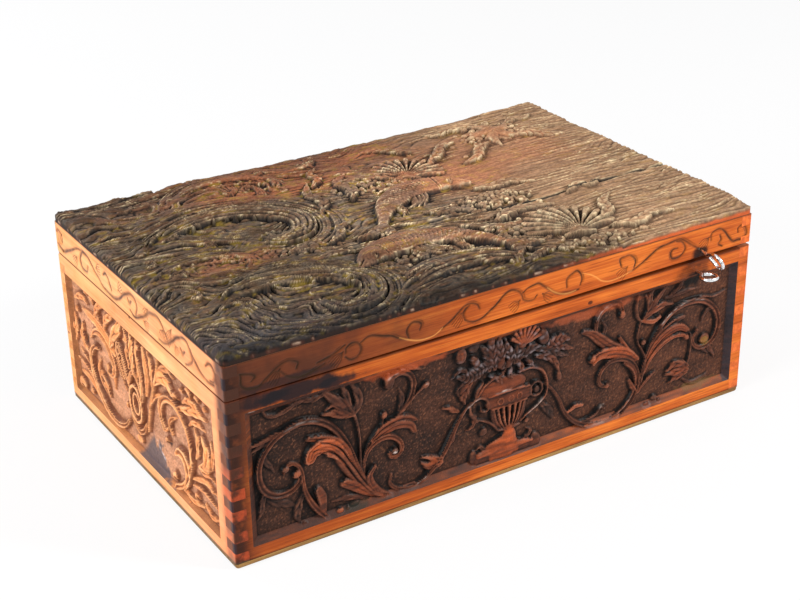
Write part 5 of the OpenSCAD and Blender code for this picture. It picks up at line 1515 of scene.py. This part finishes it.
def lid_colours(field, seed):
    """Dark wood: ridges pale from rubbing and painted highlight, painted shade and olive deposits in hollows,
    redder worn parts.
    """
    x, y, height = field.x, field.y, field.height
    sharp = (blur(height, 0.9 / field.cell) - height) / 0.3
    near = (blur(height, 1.6 / field.cell) - height) / 0.6
    wide = (blur(height, 5 / field.cell) - height) / 2.0
    sizes = ((24, 40), (5, 9), (1.4, 10), (1.2, 1.6), (3, 5))
    patch, small, streak, grit, spots = (
        0.5 + 0.5 * field.noise(*size, seed + number) for number, size in enumerate(sizes))
    rightward = unit((x - 225) / 90)
    corner = bulge(x, y, (0, 0), (120, 46), 2)
    red = unit(field.calm + 0.6 * bulge(x, y, (150, 232), (110, 34)))
    red = unit(red * (0.45 + 0.8 * patch) + field.tone * 0.55)
    thread = np.abs(np.sin(field.flow * math.pi / 2.4 + 1.4 * field.noise(7, 20, seed + 6)))
    thread = thread * (1 - rightward) + 0.8 * rightward
    # Pale crests from rubbing and painted highlight, and painted gleams on the sharpest crests
    rubbed = unit(-near * 0.8 - sharp * 0.35 - 0.1) * (0.3 + 0.7 * small) * (0.5 + 0.5 * grit)
    rubbed = rubbed * (0.25 + 0.95 * thread ** 2)
    gleam = unit(-sharp * 1.1 - 0.5) * np.clip(spots * 2.8 - 1.2, 0.05, 1) * (0.2 + 0.6 * thread ** 2)
    olive = unit(near + 0.35) * unit(spots * 2.6 - 1.25) * np.clip(patch * 1.6 - 0.2, 0.1, 1)
    # Painted shade: black in the hollows and on steep sides
    hollow = unit(near * 1.4 + wide * 0.8 - 0.1) * (1 - 0.4 * rightward)
    slope_y, slope_x = np.gradient(height, field.cell)
    steep = unit(np.hypot(slope_x, slope_y) - 1.0) * (1 - 0.45 * rightward)
    front_edge = unit((16 - y) / 12) * np.clip((330 - x) / 100, 0.1, 1)
    seam = unit(1.8 - np.abs(y - PLANK_JOINT)) * unit((x - 232) / 14)
    p = LID_PALETTE
    reds = mixed(p["red"], p["red_pale"], unit(streak * 0.7 + patch * 0.4 - 0.1))
    colour = mixed(p["deep"], p["dull"], unit(0.12 + 0.5 * patch + 0.45 * streak + 0.35 * rightward))
    for layer, share in (
            (p["grey"], unit(small * 1.5 - 0.55) * (1 - rightward) * 0.5),
            (p["red"], unit(spots * 0.8 + streak * 0.8 - 0.85) * 0.9),
            (p["slate"], corner * (0.5 + 0.4 * patch)),
            (reds, red * 0.85),
            (p["tan"], rightward * (0.45 + 0.55 * streak) * (1 - 0.4 * red)),
            (p["ridge"], rubbed * (0.45 + 0.15 * rightward)),
            (p["pale"], unit(gleam * 0.7 + rightward * rubbed * 0.35)),
            (p["olive"], np.clip(olive * (1 - 0.7 * rightward) * 1.1, 0, 0.85)),
            (p["black"], hollow * 0.95 * (1 - 0.5 * unit(olive))),
            (p["black"], steep * 0.7),
            (p["black"], front_edge * 0.6),
            (p["black"], seam * 0.95)):
        colour = mixed(colour, layer, share)
    shade = (0.72 + 0.46 * thread ** 0.6) * (0.72 + 0.5 * grit)
    at_right = 0.46 * rightward - 0.2 * unit((x - 320) / 60)
    at_centre = 1.25 * bulge(x, y, (215, 120), (90, 90), 2) * (1 - rightward)
    return colour * (shade * (1 + at_right + at_centre))[..., None]


def plank_piece(name, field, colours, rows, y_low, y_high):
    """A closed plank: the carved top over some rows of the field, with worn edges, sides and underside."""
    x, y = field.x[rows], field.y[rows]
    y = y_low + (y - y[0, 0]) * (y_high - y_low) / (y[-1, 0] - y[0, 0])
    tint = colours[rows].reshape(-1, 3)
    # Rounded corners
    cx = np.clip(x, PLANK_CORNER, BOX_W - PLANK_CORNER)
    cy = np.clip(y, PLANK_CORNER, BOX_D - PLANK_CORNER)
    away = np.hypot(x - cx, y - cy)
    shrink = np.where(away > PLANK_CORNER, PLANK_CORNER / np.maximum(away, 1e-6), 1.0)
    x = cx + (x - cx) * shrink
    y = cy + (y - cy) * shrink
    # Worn edges
    edge = np.minimum(np.minimum(x, BOX_W - x), np.minimum(y, BOX_D - y))
    rim = np.minimum(edge, PLANK_CORNER - np.minimum(away * shrink, PLANK_CORNER))
    rim = np.where(away > 0, rim, edge)
    rough = 0.5 * soft_noise(x.shape, 6, 6, 71) + 0.5 * soft_noise(x.shape, 14, 14, 72)
    drop = (1.3 + 0.9 * rough) * np.exp(-np.clip(rim, 0, None) / (1.4 + 0.5 * rough))
    at_right = unit((x - 372) / 20)
    keep = unit((rim - 1.0 + 3.4 * at_right) / 6.0)
    top = np.minimum(field.height[rows], 0.2 + 7.8 * keep) - drop * (1 - 0.45 * at_right)
    z = PLANK_TOP + np.minimum(top, RELIEF_TOP - PLANK_TOP - 0.02)
    # Sides, in steps from the top's edge down to the underside
    ny, nx = x.shape
    grid = np.arange(x.size).reshape(ny, nx)
    loop = np.concatenate([grid[0], grid[1:, -1], grid[-1, -2::-1], grid[-2:0:-1, 0]])
    points = [np.stack([x, y, z], -1).reshape(-1, 3)]
    tints = [tint]
    quads = [grid_quads(grid).reshape(-1, 4)]
    outer = points[0][loop]
    scratch = patches((1, len(loop)), 1.0, 5.0, 77)[0]
    share = unit((outer[:, 0] - 225) / 80) + 0.25 * (scratch - 0.5)
    band = mixed(linear(40, 27, 22), linear(186, 86, 42), unit(share))
    scratches = unit(scratch * 4.0 - 3.1) * unit(1.2 - share)
    scratched = mixed(band, linear(176, 150, 128), scratches)
    previous = loop
    for step, (level, side_colour) in enumerate((
            (0.72, tint[loop] * 0.4 + band * 0.3), (0.50, scratched), (0.16, band * 0.9),
            (0.05, linear(24, 12, 8)), (0.0, linear(140, 92, 60)))):
        points.append(np.column_stack([outer[:, :2], RIM_TOP + (outer[:, 2] - RIM_TOP) * level]))
        tints.append(np.broadcast_to(side_colour, (len(loop), 3)))
        current = x.size + step * len(loop) + np.arange(len(loop))
        quads.append(np.stack([previous, current, np.roll(current, -1), np.roll(previous, -1)], -1))
        previous = current
    front = previous[:nx]
    back = previous[nx + ny - 2:nx + ny - 2 + nx][::-1]
    quads.append(np.stack([front[:-1], back[:-1], back[1:], front[1:]], -1))
    points = (np.vstack(points) - (BOX_W / 2, BOX_D / 2, 0.0)) / MM
    cover = np.full(len(points), 0.5)
    return new_piece(name, points, np.vstack(quads).tolist(), np.vstack(tints), {"cover": cover}, 55)


# The rims' incised lines. x runs along the board, y is the height above the rim's lower edge.
FRONT_VINES = (
    [(11, 14), (11, 8), (14, 5), (18, 4), (22, 4), (26, 7), (33, 12), (37, 14), (41, 15), (45, 14), (48, 12),
     (47, 9)],
    [(11, 15), (15, 14), (18, 13), (20, 11), (18, 9)],
    [(37, 9), (41, 5), (47, 2.5), (52, 2.5), (59, 4), (65, 6)],
    [(61, 8), (70, 10), (75, 12), (79, 14)],
    [(80, 6), (83, 3.6), (87, 3.8), (90, 6.5), (90.5, 10), (88, 13.4), (84, 14), (80.5, 12), (80, 9.5)],
    [(91, 13), (95, 15), (99, 15), (105, 13), (112, 11), (117, 8), (122, 6)],
    [(148, 6), (154, 9), (157, 11), (162, 15), (166, 17), (170, 17), (174, 15), (175.5, 12)],
    [(124, 6), (122.6, 11), (124, 14), (127, 16), (131, 15), (133, 13), (132, 10)],
    [(165, 7), (163.8, 11), (165, 14), (168, 16)],
    [(165, 7), (168, 5), (172, 4), (178, 5), (183, 8), (188, 11), (194, 16), (199, 18), (203, 17), (206, 15),
     (208, 12), (209, 9), (213, 7), (217, 7), (219, 9)],
    [(209, 14), (212, 16), (217, 17), (221, 17), (225, 14), (230, 10), (234, 7), (239, 5), (245, 4),
     (252, 4.6)],
    [(243, 9), (243, 14), (247, 17), (251, 18), (254, 15), (255, 11), (254, 8)],
    [(294, 6), (298, 7), (305, 10), (312, 14), (318, 17), (325, 18), (332, 19), (337, 19), (342, 16),
     (346, 13), (352, 9), (356, 7)],
    [(287, 12), (286, 17), (290, 18), (294, 18), (298, 15), (299, 12), (298, 9)],
    [(334, 18), (338, 17), (341, 13), (341, 10), (338, 7), (334, 6), (330, 7), (329, 11), (331, 13),
     (334, 13)],
    [(364, 12), (364, 16), (368, 18), (372, 18), (376, 15), (380, 10), (384, 6), (388, 6), (393, 6), (396, 9),
     (395, 13), (392, 16), (388, 15), (388, 12)],
    [(372, 13), (373, 10), (371, 7), (374, 5)],
    [(118, 8), (124, 5), (130, 3), (135, 2.4), (142, 3), (148, 6)],
    [(256, 15), (261, 13), (266, 10), (271, 6), (277, 4), (283, 4), (290, 5), (296, 6.5)],
    [(228, 12), (233, 8), (239, 5), (245, 4), (250, 4.4)],
)
FRONT_PALE = (17, 18, 19)
FRONT_BLADES = (
    ((36, 11), (30, 4)), ((78, 10), (71, 4)), ((164, 13), (157, 6)), ((206, 9), (200, 5)),
    ((224, 9), (230, 5)), ((292, 10), (286, 5)), ((362, 14), (356, 9)),
)
LEFT_VINES = (
    [(23, 14), (19, 17), (15, 17), (11.6, 14), (11.6, 11), (14, 7), (18, 6)],
    [(14, 5), (21, 4), (28, 5), (33, 7), (38, 10), (41, 12), (43, 15)],
    [(51, 2.4), (47, 4), (42, 8), (42, 11), (47, 18), (53, 19), (58, 17), (63, 15), (68, 11), (71, 9),
     (77, 5), (83, 3), (89, 3)],
    [(52, 10), (55, 8), (57, 10)],
    [(77, 9), (82, 14), (86, 17), (91, 18), (96, 17), (103, 15), (110, 10), (116, 7), (122, 4), (127, 3),
     (132, 5)],
    [(124, 5), (121, 11), (122, 15), (126, 17), (131, 17), (136, 15), (142, 12), (147, 8), (152, 5), (158, 3),
     (165, 3), (172, 4)],
    [(130, 12), (133, 10), (135, 12)],
    [(162, 8), (164, 11), (166, 14), (170, 16), (174, 14)],
    [(171, 3), (178, 5), (183, 8), (188, 10), (193, 13), (198, 16), (203, 17), (209, 17), (212, 14),
     (214, 10), (212, 5), (207, 4), (203, 5), (201, 9)],
    [(212, 17), (218, 16), (225, 13), (231, 10), (238, 7), (245, 4), (251, 5), (255, 7), (256, 12), (254, 17),
     (249, 17), (246, 15), (246, 11)],
)
LEFT_PALE = ()
LEFT_BLADES = (
    ((69, 18), (77, 6)), ((65, 9), (62, 5)), ((82, 12), (84, 7)), ((104, 17), (108, 12)),
    ((111, 6), (105, 4)), ((220, 9), (225, 4)), ((150, 12), (145, 16)), ((186, 14), (180, 15)),
)


def rim_lines(board, vines, pale, blades, bold):
    """Depth and ink of the incised lines on a rim board of a given length."""
    field = Field(0.0, board, RIM_LOW, RIM_TOP, RIM_CELL)
    field.ink = np.zeros_like(field.x)
    field.bright = np.zeros_like(field.x)
    rng = np.random.default_rng(len(vines))
    for number, points in enumerate(vines):
        lifted = [(px, py + RIM_LOW) for px, py in points]
        curve = smooth_curve(lifted)
        where = field.window(curve, 2.5)
        place, side, length = along_curve(field, where, curve)
        swelling = np.sin(np.pi * np.clip(place, 0.02, 0.98)) ** 0.5
        wide = 0.42 + 0.36 * swelling * (1 + 0.25 * np.sin(place * 9 + number))
        wide = wide * (0.6 if number in pale else bold)
        line = np.exp(-(side / wide) ** 2)
        if number in pale:
            field.height[where] -= 0.22 * line
            field.bright[where] = np.maximum(field.bright[where], line)
        else:
            field.height[where] -= 0.5 * line
            field.ink[where] = np.maximum(field.ink[where],
                                          line * (0.88 + 0.12 * np.sin(place * 7 + 2 * number)))
            if length > 18:
                twin = np.exp(-((side - 1.5) / 0.4) ** 2) * unit(1.2 - np.abs(place - 0.78) / 0.17)
                field.height[where] -= 0.3 * twin
                field.ink[where] = np.maximum(field.ink[where], 0.7 * twin)
    for root, tip in blades:
        root = np.array([root[0], root[1] + RIM_LOW])
        tip = np.array([tip[0], tip[1] + RIM_LOW])
        way = tip - root
        across = np.array([-way[1], way[0]]) / np.hypot(*way)
        for step in range(-2, 3):
            bend = across * step * 1.5
            end = tip + bend * 1.2 + way * (0.05 * (2 - abs(step)))
            curve = smooth_curve([tuple(root), tuple(root + way * 0.5 + bend), tuple(end)])
            where = field.window(curve, 1.5)
            side = along_curve(field, where, curve)[1]
            line = np.exp(-(side / 0.3) ** 2)
            field.height[where] -= 0.3 * line
            field.ink[where] = np.maximum(field.ink[where], 0.85 * line)
    field.height = np.maximum(field.height, -0.55)
    return field


def rim_piece(name, node, face_axis, face_sign, field, sheets, low_edge):
    """A rim board: the solid's faces without its outer one, which finely cut sheets take over."""
    source = NODES[node].data
    at = (BOX_D if face_axis else BOX_W) / 2 * face_sign / MM
    faces = []
    for polygon in source.polygons:
        level = abs(polygon.center[face_axis] - at) < 1e-5
        if not (level and polygon.normal[face_axis] * face_sign > 0.999):
            faces.append(list(polygon.vertices))
    points = [np.array([vertex.co for vertex in source.vertices])]
    count = len(points[0])
    values = {"ink": [np.zeros(count)], "bright": [np.zeros(count)]}
    along = 1 - face_axis
    half = (BOX_D if along else BOX_W) / 2
    for x0, x1, z0, z1 in sheets:
        i = np.flatnonzero((field.xs > x0 + 0.1) & (field.xs < x1 - 0.1))
        j = np.flatnonzero((field.ys > z0 + 0.1) & (field.ys < z1 - 0.1))
        gx, gz = np.meshgrid(np.concatenate([[x0], field.xs[i], [x1]]),
                             np.concatenate([[z0], field.ys[j], [z1]]))
        if z0 < RIM_LOW + 1:
            gz = np.maximum(gz, low_edge(gx))
        # The sheet's own edges stay level with the board's face
        cells = np.ix_(np.pad(j, 1, mode="edge"), np.pad(i, 1, mode="edge"))
        cut = field.height[cells]
        cut[:, 0] = cut[:, -1] = cut[0] = cut[-1] = 0.0
        sheet = np.zeros(gx.shape + (3,))
        sheet[..., along] = (gx - half) / MM
        sheet[..., face_axis] = at + face_sign * cut / MM
        sheet[..., 2] = gz / MM
        tall = (gz[1:, :-1] - gz[:-1, :-1]) + (gz[1:, 1:] - gz[:-1, 1:]) > 1e-6
        quads = grid_quads(count + np.arange(gx.size).reshape(gx.shape))[tall]
        # Reversed on the left and the back, so that the faces look outwards
        if face_sign == (1 if face_axis else -1):
            quads = quads[:, ::-1]
        faces += quads.tolist()
        points.append(sheet.reshape(-1, 3))
        values["ink"].append(field.ink[cells].ravel())
        values["bright"].append(field.bright[cells].ravel())
        count += gx.size
    values = {key: np.concatenate(parts) for key, parts in values.items()}
    piece = new_piece(name, np.vstack(points), faces, None, values, 40)
    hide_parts(node)
    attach(piece, "lid")
    return piece


def front_low_edge(x):
    """Lower edge of the front rim, which rises towards the right."""
    return RIM_LOW + GAPE_LEFT + (GAPE_RIGHT - GAPE_LEFT) * x / BOX_W


def back_low_edge(x):
    """Lower edge of the back rim, which the groove for the hinges cuts back."""
    return np.full_like(x, RIM_LOW + GROOVE_RISE * (BOX_D - GROOVE_START))


def end_low_edge(gape):
    """Lower edge of the left or right rim, which falls towards the back and rises at the hinges' groove."""
    def edge_at(y):
        edge = RIM_LOW + gape * unit(1 - y / (PIN_Y + BOX_D / 2))
        return np.maximum(edge, RIM_LOW + GROOVE_RISE * (y - GROOVE_START))
    return edge_at


# The photograph's camera, from a fit to the box's corners: degrees, metres, pixels, and millimetres of sensor
CAMERA_AZIMUTH = 31.615
CAMERA_ELEVATION = 25.703
CAMERA_ROLL = -1.03
CAMERA_PLACE = (-0.53451, -0.86415, 0.56377)
FOCAL_PIXELS = 1615.5
PHOTO_WIDTH = 800.0
SENSOR_WIDTH = 36.0

# The floor's half width and its drop under the box, in metres, and the share of its own white light
FLOOR_HALF = 6.0
FLOOR_DROP = 0.0002
FLOOR_GLOW = 0.85
ROOM_LIGHT = 0.30


def add_camera():
    """The photograph's view."""
    azimuth = math.radians(CAMERA_AZIMUTH)
    elevation = math.radians(CAMERA_ELEVATION)
    roll = math.radians(CAMERA_ROLL)
    forward = Vector((math.sin(azimuth) * math.cos(elevation), math.cos(azimuth) * math.cos(elevation),
                      -math.sin(elevation)))
    level = Vector((math.cos(azimuth), -math.sin(azimuth), 0.0))
    upright = level.cross(forward)
    right = math.cos(roll) * level + math.sin(roll) * upright
    up = -math.sin(roll) * level + math.cos(roll) * upright
    data = bpy.data.cameras.new("camera")
    data.sensor_fit = "HORIZONTAL"
    data.sensor_width = SENSOR_WIDTH
    data.lens = FOCAL_PIXELS * SENSOR_WIDTH / PHOTO_WIDTH
    data.clip_end = 50.0
    camera = bpy.data.objects.new("camera", data)
    turn = Matrix((right, up, -forward)).transposed()
    camera.matrix_world = Matrix.Translation(CAMERA_PLACE) @ turn.to_4x4()
    bpy.context.scene.collection.objects.link(camera)
    bpy.context.scene.camera = camera


def add_lamp(name, place, target, size, power, colour=(1.0, 1.0, 1.0)):
    """A square soft lamp that looks at a point."""
    data = bpy.data.lights.new(name, "AREA")
    data.shape = "RECTANGLE"
    data.size = size[0]
    data.size_y = size[1]
    data.energy = power
    data.color = colour
    lamp = bpy.data.objects.new(name, data)
    lamp.location = place
    lamp.rotation_euler = (Vector(target) - Vector(place)).to_track_quat("-Z", "Y").to_euler()
    bpy.context.scene.collection.objects.link(lamp)


def add_surroundings():
    """White room, pale floor and soft lamps."""
    scene = bpy.context.scene
    scene.view_settings.view_transform = "Standard"
    world = bpy.data.worlds.new("white_room")
    scene.world = world
    world.use_nodes = True
    tree = world.node_tree
    tree.nodes.clear()
    light_path = tree.nodes.new("ShaderNodeLightPath")
    seen = tree.nodes.new("ShaderNodeBackground")
    seen.inputs[1].default_value = 1.0
    soft = tree.nodes.new("ShaderNodeBackground")
    soft.inputs[0].default_value = (0.96, 0.97, 1.0, 1.0)
    soft.inputs[1].default_value = ROOM_LIGHT
    seen_by = light_path.outputs["Is Camera Ray"]
    for ray in ("Is Glossy Ray", "Is Transmission Ray"):
        either = tree.nodes.new("ShaderNodeMath")
        either.operation = "MAXIMUM"
        tree.links.new(seen_by, either.inputs[0])
        tree.links.new(light_path.outputs[ray], either.inputs[1])
        seen_by = either.outputs[0]
    mixer = tree.nodes.new("ShaderNodeMixShader")
    tree.links.new(seen_by, mixer.inputs[0])
    tree.links.new(soft.outputs[0], mixer.inputs[1])
    tree.links.new(seen.outputs[0], mixer.inputs[2])
    result = tree.nodes.new("ShaderNodeOutputWorld")
    tree.links.new(mixer.outputs[0], result.inputs[0])

    mesh = bpy.data.meshes.new("floor")
    corners = [(x * FLOOR_HALF, y * FLOOR_HALF, 0) for x, y in ((-1, -1), (1, -1), (1, 1), (-1, 1))]
    mesh.from_pydata(corners, [], [(0, 1, 2, 3)])
    floor = bpy.data.objects.new("floor", mesh)
    floor.location = (0.0, 0.0, -FLOOR_DROP)
    scene.collection.objects.link(floor)
    n = Nodes("pale_floor")
    n.put(n.shader.inputs["Base Color"], (0.86, 0.86, 0.88, 1.0))
    n.put(n.shader.inputs["Roughness"], 0.7)
    glow = n.node("ShaderNodeEmission", {1: 1.0})
    path = n.node("ShaderNodeLightPath")
    seen_by = path.outputs["Is Camera Ray"]
    for ray in ("Is Glossy Ray", "Is Transmission Ray"):
        seen_by = n.math("MAXIMUM", seen_by, path.outputs[ray])
    mixer = n.node("ShaderNodeMixShader",
                   {0: n.times(seen_by, FLOOR_GLOW), 1: n.shader.outputs[0], 2: glow.outputs[0]})
    n.put(n.output.inputs[0], mixer.outputs[0])
    mesh.materials.append(n.material)

    add_lamp("window", (-1.7, -0.3, 0.9), (-0.05, 0.0, 0.08), (0.9, 0.9), 34.0, (1.0, 0.985, 0.96))
    add_lamp("back_window", (-0.5, 1.5, 1.0), (0.0, 0.0, 0.12), (0.9, 0.6), 12.0)
    add_lamp("front_fill", (1.25, -1.35, 1.15), (0.05, -0.1, 0.06), (0.5, 0.5), 40.0, (1.0, 0.98, 0.95))


# Everything together
front_board = plain_wood("front_board", FRONT_WOOD, "X", front_marks)
end_board = plain_wood("end_board", END_WOOD, "Y", end_marks)
base_board = plain_wood("base_board", BASE_WOOD, "X")
brass = metal("old_brass", linear(178, 146, 84), linear(84, 62, 34), 0.34, 0.7)
steel = metal("dull_steel", linear(150, 148, 146), linear(70, 64, 58), 0.38, 0.6)
bright = metal("bright_zinc", linear(236, 238, 240), linear(24, 22, 22), 0.12, 0.75)
for finish, nodes in (
        (front_board, ("front_wall", "back_wall", "rim_front", "rim_back")),
        (end_board, ("left_end", "right_end", "rim_left", "rim_right")),
        (base_board, ("bottom_board",)),
        (brass, ("hinge_lower_left", "hinge_lower_right", "hinge_upper_left", "hinge_upper_right",
                 "hinge_screws_lower", "hinge_screws_upper")),
        (steel, ("hinge_pin_left", "hinge_pin_right")),
        (bright, ("eye_lower", "eye_upper"))):
    for node in nodes:
        wear(NODES[node], finish)

carved_long = carved_wood("carved_long", "X")
carved_end = carved_wood("carved_end", "Y", 0.46)
for piece, finish, slot in (
        (carve_front("front_carving", False, 11), carved_long, "long_board_wood"),
        (carve_front("back_carving", True, 29), carved_long, "long_board_wood"),
        (carve_end("left_carving", False, 41), carved_end, "end_board_wood"),
        (carve_end("right_carving", True, 53), carved_end, "end_board_wood")):
    wear(piece, finish)
    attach(piece, "box")

# Lid: two carved planks and four rims with incised lines
top_field = lid_field(101)
top_colours = lid_colours(top_field, 131)
joint_row = int(np.searchsorted(top_field.ys, PLANK_JOINT))
carved_top = carved_wood("carved_top", "X", 0.5)
for node, rows, y_low, y_high in (
        ("plank_front", slice(0, joint_row), 0.0, PLANK_JOINT - PLANK_GAP / 2),
        ("plank_rear", slice(joint_row, None), PLANK_JOINT + PLANK_GAP / 2, BOX_D)):
    piece = plank_piece("carved_" + node, top_field, top_colours, rows, y_low, y_high)
    wear(piece, carved_top)
    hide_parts(node)
    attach(piece, "lid")

finger_low = RIM_LOW + RIM_FINGER
finger_high = RIM_LOW + 2 * RIM_FINGER
long_sheets = ((END_T, BOX_W - END_T, RIM_LOW, RIM_TOP), (CORNER_R, END_T, finger_low, finger_high),
                (BOX_W - END_T, BOX_W - CORNER_R, finger_low, finger_high))
end_sheets = ((LONG_T, BOX_D - LONG_T, RIM_LOW, RIM_TOP), (CORNER_R, LONG_T, RIM_LOW, finger_low),
               (CORNER_R, LONG_T, finger_high, RIM_TOP),
               (BOX_D - LONG_T, BOX_D - CORNER_R, finger_high, RIM_TOP),
               (BOX_D - LONG_T, BOX_D - CORNER_R, RIM_LOW, finger_low))
front_lines = rim_lines(BOX_W, FRONT_VINES, FRONT_PALE, FRONT_BLADES, 1.35)
left_lines = rim_lines(BOX_D, LEFT_VINES, LEFT_PALE, LEFT_BLADES, 1.9)
long_rim = (front_lines, long_sheets, front_board, "long_rim_wood")
end_rim = (left_lines, end_sheets, end_board, "end_rim_wood")
for node, face_axis, face_sign, low_edge, (lines, sheets, finish, slot) in (
        ("rim_front", 1, -1, front_low_edge, long_rim), ("rim_back", 1, 1, back_low_edge, long_rim),
        ("rim_left", 0, -1, end_low_edge(GAPE_LEFT), end_rim),
        ("rim_right", 0, 1, end_low_edge(GAPE_RIGHT), end_rim)):
    piece = rim_piece("incised_" + node, node, face_axis, face_sign, lines, sheets, low_edge)
    wear(piece, finish)

add_camera()
add_surroundings()
